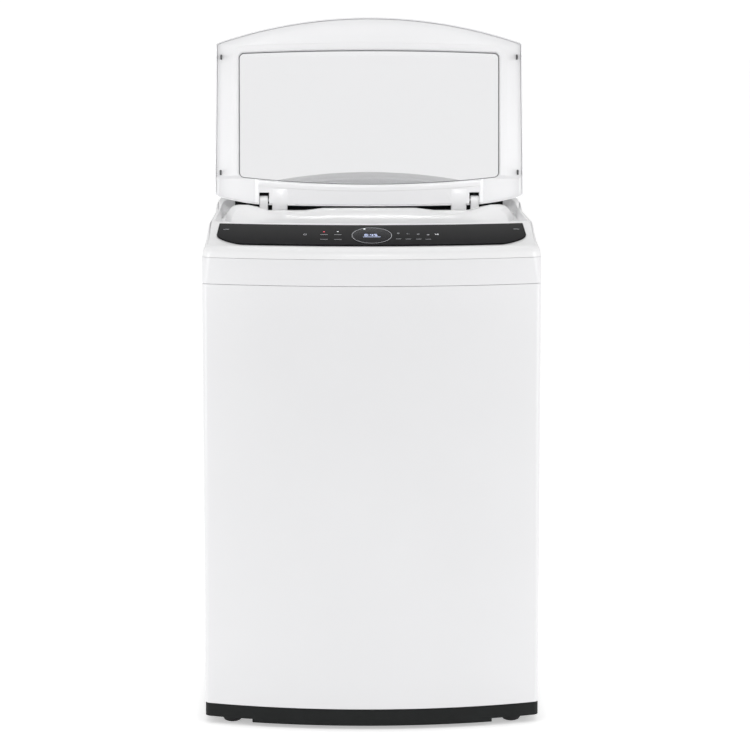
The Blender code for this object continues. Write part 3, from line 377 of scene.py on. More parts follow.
class Graph:
    """A small wrapper for building a material's nodes."""

    def __init__(self, name):
        self.material = bpy.data.materials.new(name)
        self.material.use_nodes = True
        self.tree = self.material.node_tree
        self.place = self.tree.nodes.new("ShaderNodeTexCoord").outputs["Object"]

    def fill(self, node, inputs):
        """Links the inputs that are given as sockets, and sets the others."""
        for key, value in inputs.items():
            if isinstance(value, bpy.types.NodeSocket):
                self.tree.links.new(value, node.inputs[key])
            else:
                node.inputs[key].default_value = value

    def node(self, kind, inputs, **settings):
        made = self.tree.nodes.new(kind)
        for key, value in settings.items():
            setattr(made, key, value)
        self.fill(made, inputs)
        return made

    def noise(self, scale, detail=3.0, roughness=0.5, stretch=None):
        vector = self.place
        if stretch:
            vector = self.node("ShaderNodeMapping", {"Vector": vector, "Scale": stretch}).outputs["Vector"]
        values = {"Vector": vector, "Scale": scale, "Detail": detail, "Roughness": roughness}
        return self.node("ShaderNodeTexNoise", values).outputs["Fac"]

    def cells(self, scale):
        return self.node("ShaderNodeTexVoronoi", {"Vector": self.place, "Scale": scale}).outputs

    def spread(self, value, low=0.0, high=1.0, start=0.25, end=0.75):
        values = {"Value": value, "From Min": start, "From Max": end, "To Min": low, "To Max": high}
        return self.node("ShaderNodeMapRange", values).outputs["Result"]

    def blend(self, factor, first, second):
        first, second = (c if isinstance(c, bpy.types.NodeSocket) else (*c, 1.0) for c in (first, second))
        return self.node("ShaderNodeMix", {0: factor, 6: first, 7: second}, data_type="RGBA").outputs[2]

    def bump(self, height, strength, distance):
        values = {"Height": height, "Strength": strength, "Distance": distance}
        return self.node("ShaderNodeBump", values).outputs["Normal"]

    def finished(self, colour, roughness, normal=None, **values):
        """The material, once its shader's inputs are in. A value's name has underscores for spaces."""
        inputs = {"Base Color": colour, "Roughness": roughness}
        if normal is not None:
            inputs["Normal"] = normal
        inputs.update({name.replace("_", " "): value for name, value in values.items()})
        self.fill(self.tree.nodes["Principled BSDF"], inputs)
        return self.material


def shade(colour, by):
    return tuple(max(0.0, min(1.0, c * (1 + by))) for c in colour)


def coating(name, colour, roughness, metallic=0.0, tone=0.02, patch=5.0, spread=0.05, grain=400.0,
            depth=0.00004,
            coat=0.0, specular=0.5):
    """A moulded, painted or cast surface: slow colour drift, patchy gloss and a fine grain."""
    graph = Graph(name)
    drift = graph.blend(graph.spread(graph.noise(patch, 4.0)), shade(colour, -tone), shade(colour, tone))
    gloss = graph.spread(graph.noise(patch * 7, 2.0), roughness - spread, roughness + spread)
    return graph.finished(drift, gloss, graph.bump(graph.noise(grain, 2.0), 0.35, depth), Metallic=metallic,
                          Specular_IOR_Level=specular, Coat_Weight=coat, Coat_Roughness=0.12)


def smooth_white(name, colour, roughness, coat=0.0):
    """The calm, even gloss of the white outside."""
    return coating(name, colour, roughness, grain=420.0, depth=0.000002, coat=coat, tone=0.012, spread=0.015)


def brushed(name, colour, roughness, stretch, tone=0.1, depth=0.00002):
    """Bare metal with fine lines drawn along the directions where stretch is small."""
    graph = Graph(name)
    lines, clouds = graph.noise(60.0, 6.0, 0.7, stretch), graph.noise(4.0)
    streaked = graph.blend(graph.spread(lines), shade(colour, -tone), shade(colour, tone))
    cloudy = graph.blend(graph.spread(clouds, 0.0, 0.05), streaked, shade(colour, -0.5))
    gloss = graph.spread(lines, roughness - 0.08, roughness + 0.1)
    return graph.finished(cloudy, gloss, graph.bump(lines, 0.4, depth), Metallic=1.0)


def spangled(name, colour, roughness):
    """Galvanised sheet: crystal facets of differing brightness."""
    graph = Graph(name)
    value = graph.node("ShaderNodeSeparateColor", {"Color": graph.cells(130.0)["Color"]}).outputs[0]
    facets = graph.blend(value, shade(colour, -0.12), shade(colour, 0.1))
    hazy = graph.blend(graph.spread(graph.noise(8.0, 4.0), 0.0, 0.25), facets, shade(colour, -0.3))
    gloss = graph.spread(value, roughness - 0.07, roughness + 0.09, 0.0, 1.0)
    return graph.finished(hazy, gloss, graph.bump(graph.noise(300.0), 0.2, 0.00003), Metallic=1.0)


def moulded_black(name, colour, roughness, scale=900.0, depth=0.00012):
    """Plastic or rubber with a fine pebbled grain, and dust that lightens it a little."""
    graph = Graph(name)
    dust = graph.noise(14.0, 6.0, 0.65)
    dusty = graph.blend(graph.spread(dust, 0.0, 1.0, 0.45, 0.8), colour, shade(colour, 0.55))
    gloss = graph.spread(dust, roughness - 0.08, roughness + 0.1)
    return graph.finished(dusty, gloss, graph.bump(graph.cells(scale)["Distance"], 0.5, depth),
                          Specular_IOR_Level=0.18)


def fascia_face(name):
    """The panel's face: dark hard-coated plastic, lighter towards its rear edge, with a brushed print."""
    graph = Graph(name)
    parts = graph.node("ShaderNodeSeparateXYZ", {"Vector": graph.place}).outputs
    bow = graph.node("ShaderNodeMath", {0: parts["X"], 1: parts["X"]}, operation="MULTIPLY").outputs[0]
    depth = graph.node("ShaderNodeMath", {0: bow, 1: -0.5 / BOW_RADIUS, 2: parts["Y"]},
                       operation="MULTIPLY_ADD")
    fade = graph.spread(depth.outputs[0], 0.0, 1.0, FRONT_Y + FASCIA_FRONT, FRONT_Y + FASCIA_REAR)
    lines = graph.noise(90.0, 5.0, 0.7, (0.4, 14.0, 14.0))
    tone = graph.blend(fade, (0.005, 0.005, 0.006), (0.031, 0.031, 0.031))
    printed = graph.blend(graph.spread(lines, 0.0, 0.04), tone, (0.055, 0.055, 0.06))
    return graph.finished(printed, graph.spread(graph.noise(12.0, 2.0), 0.31, 0.35),
                          graph.bump(lines, 0.05, 0.000004), IOR=1.1)


def lamp(name, colour, strength):
    """A printed mark lit from behind, a little uneven from spot to spot."""
    graph = Graph(name)
    uneven = graph.blend(graph.spread(graph.noise(160.0, 2.0), 0.75, 1.0), shade(colour, -0.35), colour)
    return graph.finished(uneven, graph.spread(graph.noise(60.0), 0.25, 0.45), Emission_Color=uneven,
                          Emission_Strength=strength)


def pane(name, tint, roughness=0.02):
    """Clear tinted glass with a trace of unevenness."""
    graph = Graph(name)
    tinted = graph.blend(graph.spread(graph.noise(2.5)), shade(tint, -0.02), tint)
    gloss = graph.spread(graph.noise(9.0, 5.0), roughness * 0.5, roughness * 1.8)
    return graph.finished(tinted, gloss, graph.bump(graph.noise(6.0), 0.05, 0.0002), Transmission_Weight=1.0,
                          IOR=1.46)


def make_finishes():
    return {
        "cabinet_white": smooth_white("enamelled steel", (0.775, 0.775, 0.785), 0.34, 0.2),
        "cover_white": smooth_white("white gloss plastic", (0.8, 0.8, 0.805), 0.3, 0.15),
        "collar_white": smooth_white("white satin plastic", (0.745, 0.745, 0.755), 0.36),
        "lid_white": smooth_white("lid plastic", (0.82, 0.82, 0.83), 0.3, 0.15),
        "base_black": moulded_black("base plastic", (0.009, 0.01, 0.01), 0.5),
        "fascia_black": fascia_face("control panel"),
        "fascia_edge": coating("panel edge", (0.004, 0.004, 0.005), 0.35, grain=600.0, tone=0.15,
                               specular=0.05),
        "display_dark": coating("display window", (0.014, 0.014, 0.016), 0.2, grain=80.0, depth=0.000002,
                                spread=0.02, tone=0.1, specular=0.07),
        "glass_grey": pane("lid pane", (0.835, 0.836, 0.845)),
        "rubber_dark": moulded_black("rubber", (0.022, 0.022, 0.023), 0.72, scale=1300.0, depth=0.00008),
        "drum_steel": brushed("brushed stainless steel", (0.74, 0.74, 0.75), 0.3, (0.5, 0.5, 12.0)),
        "shaft_steel": brushed("turned steel", (0.46, 0.46, 0.48), 0.28, (1.0, 1.0, 16.0), tone=0.15),
        "zinc_steel": spangled("galvanised sheet", (0.52, 0.53, 0.55), 0.36),
        "tub_grey": coating("filled plastic", (0.46, 0.47, 0.48), 0.48, grain=350.0, depth=0.00008, tone=0.05,
                            patch=9.0),
        "ring_white": coating("white plastic", (0.76, 0.77, 0.78), 0.36, grain=500.0, depth=0.00004,
                              tone=0.02),
        "pulsator_grey": coating("grey plastic", (0.56, 0.58, 0.61), 0.34, grain=420.0, depth=0.00006,
                                 tone=0.04),
        "aluminium": coating("cast aluminium", (0.62, 0.63, 0.65), 0.42, metallic=1.0, grain=500.0,
                             depth=0.00025, tone=0.08, spread=0.1),
        "copper_coil": brushed("enamelled copper", (0.5, 0.2, 0.08), 0.36, (1.0, 1.0, 30.0), tone=0.25,
                               depth=0.0001),
        "valve_blue": coating("blue plastic", (0.05, 0.15, 0.48), 0.42, grain=450.0, tone=0.08),
        "valve_red": coating("red plastic", (0.52, 0.045, 0.045), 0.42, grain=450.0, tone=0.08),
        "hose_grey": moulded_black("hose rubber", (0.16, 0.165, 0.17), 0.58, scale=700.0),
        "board_green": coating("sealed board", (0.03, 0.16, 0.07), 0.3, grain=300.0, tone=0.25, coat=0.6,
                               patch=40.0),
        "filter_blue": coating("filter plastic", (0.26, 0.42, 0.6), 0.4, grain=380.0, tone=0.06),
        "bumper_grey": moulded_black("grey rubber", (0.09, 0.09, 0.092), 0.7, scale=1300.0, depth=0.00008),
        "mark_grey": lamp("printed marks", (0.58, 0.59, 0.62), 0.2),
        "mark_bright": lamp("lit marks", (0.95, 0.96, 1.0), 0.9),
        "mark_red": lamp("red lamp", (0.85, 0.06, 0.1), 0.7),
        "mark_blue": lamp("display figures", (0.62, 0.7, 1.0), 1.2),
    }


FINISH = make_finishes()


def finish_frame():
    """Every CAD node gets its slot's material. Those that a finer piece stands for are hidden later."""
    for row in frame["record"]["subparts"]:
        slots = frame["nodes"][row["node"]].data.materials
        slots.clear()
        slots.append(FINISH[row["material_slot"]])


# ---------------------------------------------------------------- casing


def centre_of(node):
    low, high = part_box(node)
    return (low + high) / 2


def make_cabinet():
    """The wrap-round sheet, folded in at the top and bottom, and open at the rear between two flanges."""
    fold, flange_x = 0.012, 0.25
    section = ((fold, CABINET_BOTTOM), (0.0, CABINET_BOTTOM), (0.0, CABINET_TOP), (fold, CABINET_TOP))
    rings = [level(case_outline(inset=by).points(), z) for by, z in section]
    rings = soft_rings(rings, (0.0, 0.0014, 0.0014, 0.0), steps=4)
    open_rear = [i for i, p in enumerate(rings[5]) if p.y > BACK_Y - 1e-4 and abs(p.x) < flange_x]
    start, count = max(open_rear) + 1, len(rings[0]) - len(open_rear)
    rings = [[ring[(start + i) % len(ring)] for i in range(count)] for ring in rings]
    shell = make_object("cabinet_panel", skin(rings, caps=False, around=False))
    thicken_inwards(shell, SHEET, Vector((0.0, 0.0, 0.4)))
    wall_x = HALF_W - SHEET - 0.0002
    for end, out in (("front", -1), ("rear", 1)):
        for side, sign in SIDES:
            spot = centre_of(f"suspension_rod_{end}_{side}")
            outline = [(sign * x, spot.y + out * y) for x, y in
                       ((0.205, -0.035), (wall_x, -0.035), (wall_x, 0.012), (0.262, 0.028), (0.205, 0.02))]
            plate = make_object(f"rod_gusset_{end}_{side}", prism(outline, 0.7585, 0.7605, 0.0006))
            combine(plate, moved(rod(0.006, 0.75, 0.77), at(spot.x, spot.y, 0.0)))
            settle(plate, "cabinet", "cabinet_white")
    settle(shell, "cabinet", "cabinet_white", "cabinet_shell")


def make_collar():
    """The light band whose corners open from the cabinet's radius to the top cover's."""
    thick, low = 0.003, CABINET_TOP + GAP
    section = ((CORNER_RADIUS, 0.0, low), (COLLAR_CORNER_RADIUS, 0.0, COLLAR_TOP),
               (COLLAR_CORNER_RADIUS, thick, COLLAR_TOP), (CORNER_RADIUS, thick, low))
    rings = [level(case_outline(corner, inset).points(), z) for corner, inset, z in section]
    rings = soft_rings(rings, (0.0013, 0.0008, 0.0004, 0.0004), closed=True)
    piece("collar", skin(rings, closed=True), "cabinet", "cover_white", "collar_band", finish="collar_white")


def hump_z(x):
    return HUMP_Z - sagitta(x, CROWN_RADIUS)


def fascia_z(depth):
    slope = (FASCIA_REAR_Z - FASCIA_FRONT_Z) / (FASCIA_REAR - FASCIA_FRONT)
    return FASCIA_FRONT_Z + slope * (depth - FASCIA_FRONT)


def fascia_point(x, depth, lift=FASCIA_LIFT):
    """A point over the panel's slope, by its depth behind the bowed front."""
    up = Vector((0.0, -math.sin(FASCIA_TILT), math.cos(FASCIA_TILT)))
    return Vector((x, FRONT_Y + sagitta(x, BOW_RADIUS) + depth, fascia_z(depth))) + up * lift


LEDGE_MIDDLE, PAD_INNER, PAD_OUTER = 0.11, 0.2, 0.285  # along x: where the ledge is raised
MIDDLE_RISE, PAD_RISE = 0.004, 0.0102
TROUGH_END, TROUGH_END_Z = 0.212, 0.8765


def ledge_z(x):
    """The ledge behind the well: a little higher in the middle, with a pad on each side near its end."""
    middle = smooth((LEDGE_MIDDLE - abs(x)) / 0.012)
    pad = smooth((abs(x) - PAD_INNER) / 0.016) * smooth((PAD_OUTER - abs(x)) / 0.03)
    return RIM_Z + MIDDLE_RISE * middle + PAD_RISE * pad


def trough_z(x):
    """The trough's floor, which comes up beyond the hinge posts."""
    return TROUGH_Z + (TROUGH_END_Z - TROUGH_Z) * smooth((abs(x) - TROUGH_END) / 0.016)


# The top cover's section, station by station from its lower edge over the top and down to the well's mouth:
# (depth behind the bowed front, z), (inset of the side, z, how far it stays below the panel's slope, how far
# it rises beside the hump), (inset of the rear, z, or drop below the hump, or a line of its own), corner
# radius, edge easing
COVER_STATIONS = (
    ((0.0, 0.8265), (0.0, 0.8265, 0.0, 0.0), (0.0, 0.8265), 0.026, 0.0),
    ((0.0035, 0.838), (0.0022, 0.84, 0.0, 0.0), (0.001, -0.012), 0.027, 0.0),
    ((0.014, 0.8465), (0.0068, 0.869, 0.0075, 0.011), (0.006, -0.001), 0.03, 0.0),
    ((FASCIA_FRONT, FASCIA_FRONT_Z), (0.0095, 0.8775, 0.002, 0.011), (0.014, 0.0), 0.03, 0.001),
    ((FASCIA_REAR, FASCIA_REAR_Z), (0.0125, RIM_Z, 0.0, 0.0145), (0.097, -0.003), 0.024, 0.002),
    ((0.119, RIM_Z), (0.0175, RIM_Z, -0.1, 0.0145), (0.104, -0.007), 0.03, 0.0024),
    ((0.1215, 0.85), (0.02, 0.866, -0.1, 0.0), (0.112, "trough"), 0.03, 0.002),
    ((0.126, 0.846), (0.024, 0.864, -0.1, 0.0), (0.164, "trough"), 0.024, 0.0016),
    ((0.129, 0.845), (0.028, 0.863, -0.1, 0.0), (0.167, "ledge"), 0.022, 0.002),
    ((0.132, 0.844), (0.038, 0.861, -0.1, 0.0), (0.19, "ledge"), 0.034, 0.004),
    ((0.138, 0.838), (0.075, 0.844, -0.1, 0.0), (0.196, 0.87), 0.07, 0.012),
    ((0.148, 0.8), (0.085, 0.8, -0.1, 0.0), (0.203, 0.8), 0.085, 0.0),
)
SHOULDER_STATIONS = 4  # the first ones lie on one flowing curve


def cover_ring(station):
    """One station of the top cover as a ring of points. Its height blends at the corners."""
    (front_in, front_z), (side_in, side_z, below, rise), (rear_in, rear_z), corner, _ = station
    plan = Outline(HALF_W - side_in, FRONT_Y + front_in, BACK_Y - rear_in, corner)
    ring = []
    for x, y in plan.points():
        slope = fascia_z(y - FRONT_Y - sagitta(x, BOW_RADIUS)) - below
        side = min(side_z, max(slope, front_z)) + rise * smooth((y - HUMP_FRONT_Y) / 0.03)
        if rear_z in ("ledge", "trough"):
            rear = ledge_z(x) if rear_z == "ledge" else trough_z(x)
        else:
            rear = rear_z if rear_z > 0.5 else hump_z(x) + rear_z
        to_front = min(1.0, max(0.0, 1.0 - (y - plan.front_at(x)) / corner))
        to_rear = min(1.0, max(0.0, 1.0 - (plan.rear - y) / corner))
        ring.append(Vector((x, y, side + (front_z - side) * to_front + (rear - side) * to_rear)))
    return ring


def flowing(rings, steps):
    """Extra rings on a smooth curve through the given ones."""
    knots = [[2 * a - b for a, b in zip(rings[0], rings[1])], *rings,
             [2 * a - b for a, b in zip(rings[-1], rings[-2])]]
    made = []
    for before, low, high, after in zip(knots, knots[1:], knots[2:], knots[3:]):
        for i in range(steps):
            t = i / steps
            made.append([curve_point(*four, t) for four in zip(before, low, high, after)])
    return made


def curve_point(a, b, c, d, t):
    """A point between b and c on the smooth curve through four points."""
    return 0.5 * (2 * b + (c - a) * t + (2 * a - 5 * b + 4 * c - d) * t * t + (3 * b - a - 3 * c + d)
                  * t ** 3)


def make_top_cover():
    """The moulded top: one skin from its lower edge over the shoulders and into the well, thickened."""
    rings = [cover_ring(station) for station in COVER_STATIONS]
    radii = [station[-1] for station in COVER_STATIONS]
    shoulder = flowing(rings[:SHOULDER_STATIONS], 4)
    rings = soft_rings(shoulder + rings[SHOULDER_STATIONS - 1:], [0.0] * len(shoulder) + radii[3:], steps=3)
    cover = make_object("cover", skin(rings, caps=False))
    thicken_inwards(cover, WALL, Vector((0.0, 0.0, 0.6)))
    low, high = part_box("detergent_drawer")
    play = 0.0015
    combine(cover, block((low.x - play, 0.07, low.z - play), (high.x + play, 0.13, high.z + play)))
    low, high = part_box("inlet_bay")
    combine(cover, block((low.x - GAP, 0.28, low.z - GAP), (high.x + GAP, 0.35, high.z + GAP)))
    settle(cover, "cabinet", "cover_white", "top_cover")


def make_painted_shadow_gutter():
    """The dark gutter in the trough between the ledge and the hump, with upturned edges: painted shadow under the
    lid's rear edge.
    """
    front_y, rear_y, reach, top = BACK_Y - 0.164, BACK_Y - 0.112, 0.252, 0.898
    rings = []
    for x in (reach * (i / 50 - 1) for i in range(101)):
        floor_z = trough_z(x) + 0.0003
        section = ((front_y + 0.0014, floor_z + 0.003), (front_y + 0.0018, floor_z),
                   (rear_y - 0.0024, floor_z),
                   (rear_y - 0.0014, top))
        rings.append(rounded([Vector((x, y, z)) for y, z in section], (0.0, 0.0016, 0.0016, 0.0), 4))
    gutter = make_object("painted_shadow_gutter", skin(rings, caps=False, around=False))
    up = gutter.data.polygons[len(rings[0]) // 2].normal.z > 0
    thicken(gutter, 0.001, 1.0 if up else -1.0)
    for side in ("left", "right"):
        low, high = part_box("hinge_post_" + side)
        combine(gutter, block((low.x - 0.0006, low.y - 0.002, 0.85), (high.x + 0.0006, high.y + 0.002, 0.87)))
    # the black finish paints the shadow that falls in the trough under the lid's rear edge
    settle(gutter, "cabinet", "rubber_dark", finish="base_black")


def thicken_inwards(target, thickness, middle):
    """Solidifies an open skin away from the side that faces out of its middle point."""
    outward = sum((p.center - middle).dot(p.normal) * p.area for p in target.data.polygons) > 0
    thicken(target, thickness, -1.0 if outward else 1.0)


def fascia_half(depth):
    """Half the panel's length, which rounds in towards its front edge."""
    turn, full = 0.062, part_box("control_fascia")[1].x - 0.0017
    past = min(1.0, max(0.0, (turn - depth) / (turn - PANEL_FRONT)))
    bend = 0.5 * past * past + 0.5 * (1.0 - math.sqrt(1.0 - past * past))
    return full - 0.048 * bend - 0.003 * max(0.0, depth - turn) / (FASCIA_REAR - turn)


def make_fascia():
    """The dark panel with its black printed border and an eased edge all round."""
    near, far, turn = PANEL_FRONT, FASCIA_REAR + 0.0022, 0.062
    edge, border = 0.0007, 0.0024
    round_rows = [near + (turn - near) * (1 - math.cos(math.pi * i / 28)) for i in range(1, 14)]
    depths = [near, near + edge, near + border, *[d for d in round_rows if d > near + border + 0.0004], turn]
    depths += [turn + (far - turn) * i / 5 for i in range(1, 5)] + [far - border, far - edge, far]
    across = 40

    def columns(half):
        inner = half - border
        return [-half, -half + edge, *[inner * (2 * i / across - 1) for i in range(across + 1)], half - edge,
                half]

    def grid(lift, ease):
        rows = []
        for r, depth in enumerate(depths):
            row = columns(fascia_half(depth))
            on_end = r in (0, len(depths) - 1)
            rows.append([fascia_point(x, depth, lift - (ease if on_end or c in (0, len(row) - 1) else 0.0))
                         for c, x in enumerate(row)])
        return rows

    top, bottom = grid(FASCIA_LIFT, 0.0006), grid(0.0007, 0.0)
    bm = slab(top, bottom)
    for face in bm.faces:
        middle = face.calc_center_median()
        depth = middle.y - FRONT_Y - sagitta(middle.x, BOW_RADIUS)
        inside = near + border < depth < far - border and abs(middle.x) < fascia_half(depth) - border
        face.material_index = 0 if inside else 1
    panel = make_object("control_panel", bm)
    panel.data.materials.append(FINISH["fascia_black"])
    panel.data.materials.append(FINISH["fascia_edge"])
    settle(panel, "cabinet", "fascia_black", "control_fascia", finish=None)


def slab(top, bottom):
    """A closed slab between two equal grids of points."""
    bm = bmesh.new()
    rows, columns = len(top), len(top[0])
    upper, lower = ([[bm.verts.new(p) for p in row] for row in grid] for grid in (top, bottom))
    for r in range(rows - 1):
        for c in range(columns - 1):
            bm.faces.new((upper[r][c], upper[r][c + 1], upper[r + 1][c + 1], upper[r + 1][c]))
            bm.faces.new((lower[r][c], lower[r + 1][c], lower[r + 1][c + 1], lower[r][c + 1]))
    edge = [(0, c) for c in range(columns)] + [(r, columns - 1) for r in range(1, rows)]
    edge += [(rows - 1, c) for c in range(columns - 2, -1, -1)] + [(r, 0) for r in range(rows - 2, 0, -1)]
    for (r, c), (s, d) in zip(edge, edge[1:] + edge[:1]):
        bm.faces.new((upper[r][c], lower[r][c], lower[s][d], upper[s][d]))
    return bm


# Marks on the panel, as flat lines given in millimetres: (to the right, towards the rear)
def arc_line(radius, start, end, steps=16, centre=(0.0, 0.0)):
    turns = [math.radians(start + (end - start) * i / steps) for i in range(steps + 1)]
    return [(centre[0] + radius * math.cos(a), centre[1] + radius * math.sin(a)) for a in turns]


POWER_SIGN = [arc_line(2.6, 120, 420), [(0.0, 1.0), (0.0, 3.4)]]
PLAY_SIGN = [[(-2.8, -1.7), (-2.8, 1.7), (0.2, 0.0), (-2.8, -1.7)], [(1.4, -1.7), (1.4, 1.7)],
             [(2.8, -1.7), (2.8, 1.7)]]
DROP_SIGN = [[(0.0, 2.4), (-1.4, 0.2), *arc_line(1.5, 170, 370, 8, (0.0, -0.5)), (1.4, 0.2), (0.0, 2.4)]]
HEAT_SIGN = [[(-1.8, -1.8), (-1.8, 1.2)], [(0.0, -1.8), (0.0, 2.2)], [(1.8, -1.8), (1.8, 0.4)]]
SPIN_SIGN = [arc_line(1.9, 20, 300), [(1.9, 2.0), (1.8, 0.5), (0.5, 0.9)]]
CLOCK_SIGN = [arc_line(1.9, 0, 360), [(0.0, 1.2), (0.0, 0.0), (1.0, 0.0)]]
CHEVRON_LEFT = [[(0.9, 2.2), (-0.9, 0.0), (0.9, -2.2)]]
CHEVRON_RIGHT = [[(-0.9, 2.2), (0.9, 0.0), (-0.9, -2.2)]]
COLON = [[(-5.0, 1.8), (-5.0, 0.8)], [(-5.0, -0.8), (-5.0, -1.8)]]
CAPTION = [[(-6.5, 0.0), (6.5, 0.0)]]
SHORT_CAPTION = [[(-4.8, 0.0), (4.8, 0.0)]]
SEGMENTS = {"a": ((-1, 2), (1, 2)), "b": ((1, 2), (1, 0)), "c": ((1, 0), (1, -2)), "d": ((-1, -2), (1, -2)),
            "e": ((-1, 0), (-1, -2)), "f": ((-1, 2), (-1, 0)), "g": ((-1, 0), (1, 0))}
DIGITS = {"0": "abcdef", "4": "bcfg", "5": "acdfg"}
DIGIT_SIZE = 3.4 * 0.55  # half a figure's width


def digit(figure, middle):
    return [[(middle + x * DIGIT_SIZE, y * DIGIT_SIZE) for x, y in SEGMENTS[s]] for s in DIGITS[figure]]


def mark(name, strokes, spot, width, finish="mark_grey", base=FASCIA_LIFT):
    """Thin flat strokes laid on the panel round a point given as (x, depth)."""
    made = []
    for stroke in strokes:
        points = [Vector((x / 1000, y / 1000, 0.0)) for x, y in stroke]
        shut = (points[0] - points[-1]).length < 1e-7
        section = []
        for i, p in enumerate(points[:-1] if shut else points):
            before = points[i - 1] if i else (points[-2] if shut else p)
            after = points[i + 1] if i < len(points) - 1 else (points[1] if shut else p)
            along = (after - before).normalized()
            across = Vector((-along.y, along.x, 0.0)) * width / 2
            up = Vector((0.0, 0.0, MARK_HEIGHT))
            section.append([p + across, p - across, p - across + up, p + across + up])
        made.append(skin(section, closed=shut))
    place_mark(name, joined(*made), spot, finish, base)


def dot(name, radius, spot, finish, base=FASCIA_LIFT):
    place_mark(name, rod(radius, 0.0, 0.00018, 24, ease=0.00005), spot, finish, base)


def place_mark(name, bm, spot, finish, base):
    seat = at(*fascia_point(*spot, base)) @ turned(math.asin(spot[0] / BOW_RADIUS)) @ turned(FASCIA_TILT, "X")
    piece(name, bm, "cabinet", "fascia_black", turn=seat, finish=finish)


def make_marks():
    """The round display with a generic figure, the touch signs with their captions, and the lamps."""
    middle = (FASCIA_FRONT + FASCIA_REAR) / 2
    face = lathe([(0.0, 0.0), (0.035, 0.0), (0.035, 0.0005), (0.0, 0.0005)], 96, 0.0002)
    seat = at(*fascia_point(0.0, middle)) @ turned(FASCIA_TILT, "X")
    piece("display_lens", face, "cabinet", "display_dark", "display_window", seat)
    glass = FASCIA_LIFT + 0.0005
    mark("display_ring", [arc_line(34.4, 0, 360, 72)], (0.0, middle), 0.0006, base=glass)
    figures = (("hour", digit("0", -10.0)), ("colon", COLON), ("tens", digit("4", 0.0)),
               ("ones", digit("5", 7.0)))
    for name, strokes in figures:
        mark("display_figure_" + name, strokes, (0.0, middle + 0.0015), 0.0009, "mark_blue", base=glass)
    mark("display_bar", [[(-15.0, -6.5), (15.0, -6.5)]], (0.0, middle), 0.0008, "mark_blue", base=glass)
    mark("display_step_left", CHEVRON_LEFT, (-0.028, middle), 0.0008, base=glass)
    mark("display_step_right", CHEVRON_RIGHT, (0.028, middle), 0.0008, base=glass)
    dot("display_lamp", 0.0018, (-0.0125, middle + 0.0275), "mark_bright", base=glass)
    mark("power_sign", POWER_SIGN, (-0.116, middle + 0.004), 0.0006)
    dot("lock_lamp", 0.0016, (-0.083, middle + 0.016), "mark_red")
    dot("wifi_lamp", 0.0014, (-0.059, middle + 0.017), "mark_bright")
    for name, x in (("83", -0.083), ("59", -0.059)):
        mark("caption_upper_" + name, CAPTION, (x, middle + 0.004), 0.0007)
        mark("caption_lower_" + name, CAPTION, (x, middle - 0.016), 0.0006)
    signs = (("water_sign", DROP_SIGN, 0.046), ("heat_sign", HEAT_SIGN, 0.063),
             ("spin_sign", SPIN_SIGN, 0.081),
             ("delay_sign", CLOCK_SIGN, 0.098))
    for i, (name, strokes, x) in enumerate(signs):
        mark(name, strokes, (x, middle + 0.01 - 0.0025 * i), 0.0005)
        mark(name + "_caption", SHORT_CAPTION, (x, middle - 0.014 - 0.0008 * i), 0.0006)
    mark("start_sign", PLAY_SIGN, (0.113, middle + 0.004), 0.0007, "mark_bright")
    for name, side in SIDES:
        bend = [(side * 5.5, -1.6), (side * 3.0, -0.2), (0.0, 0.4), (-side * 4.5, 0.2)]
        mark("end_mark_" + name, [bend], (side * 0.254, middle + 0.02), 0.0008)


# ---------------------------------------------------------------- lid


LID_LOW, LID_TOP = -0.0125, 0.021  # the lid's own heights, above and below its hinge axis when it is shut
INNER_LOW, GLASS_LOW, GLASS_TOP = -0.009, 0.009, 0.013
PANE_EDGE = 0.008  # how far the pane reaches past the window on every side
PIN, PIN_HOLE = 0.003, 0.0034  # radii
LID_REAR_RADIUS = 2.2
SIDE_SHARE, SIDE_DRAW, LID_REACH = 0.993, 0.0105, 0.34  # the lid's width at its rear, how it narrows


def lid_outline(inset=0.0):
    """The lid seen from above when shut and level, with its hinge axis at y = 0."""
    return Outline(0.29, -LID_REACH, 0.0115, 0.006, 0.9, LID_REAR_RADIUS).inset(inset)


def window_outline(grow=0.0):
    return Outline(0.2435, -0.28, -0.029, 0.01, 5.5, 2.1).inset(-grow)


def lid_ring(outline, z):
    return level(outline.points(arc=24, turn=8, side=14, back=24), z)


def lid_edge(inset, z):
    """A ring of the lid's outer edge. Its rear line is nearly straight and falls away towards the corners.
    Its sides draw in a little towards the front."""
    ring = lid_ring(lid_outline(inset), z)
    for p in ring:
        fall = 0.0699 * p.x * p.x + 1.309 * max(0.0, abs(p.x) - 0.185) ** 2
        p.y += (sagitta(p.x, LID_REAR_RADIUS) - fall) * smooth((p.y + 0.1) / 0.09)
        p.x *= SIDE_SHARE - SIDE_DRAW * smooth(-p.y / LID_REACH)
    return ring


def spans(xs, side, ys, zs, ease=0.0):
    """A box given by its spans, mirrored to the left where side is -1."""
    low, high = sorted((side * xs[0], side * xs[1]))
    return block((low, ys[0], zs[0]), (high, ys[1], zs[1]), ease)


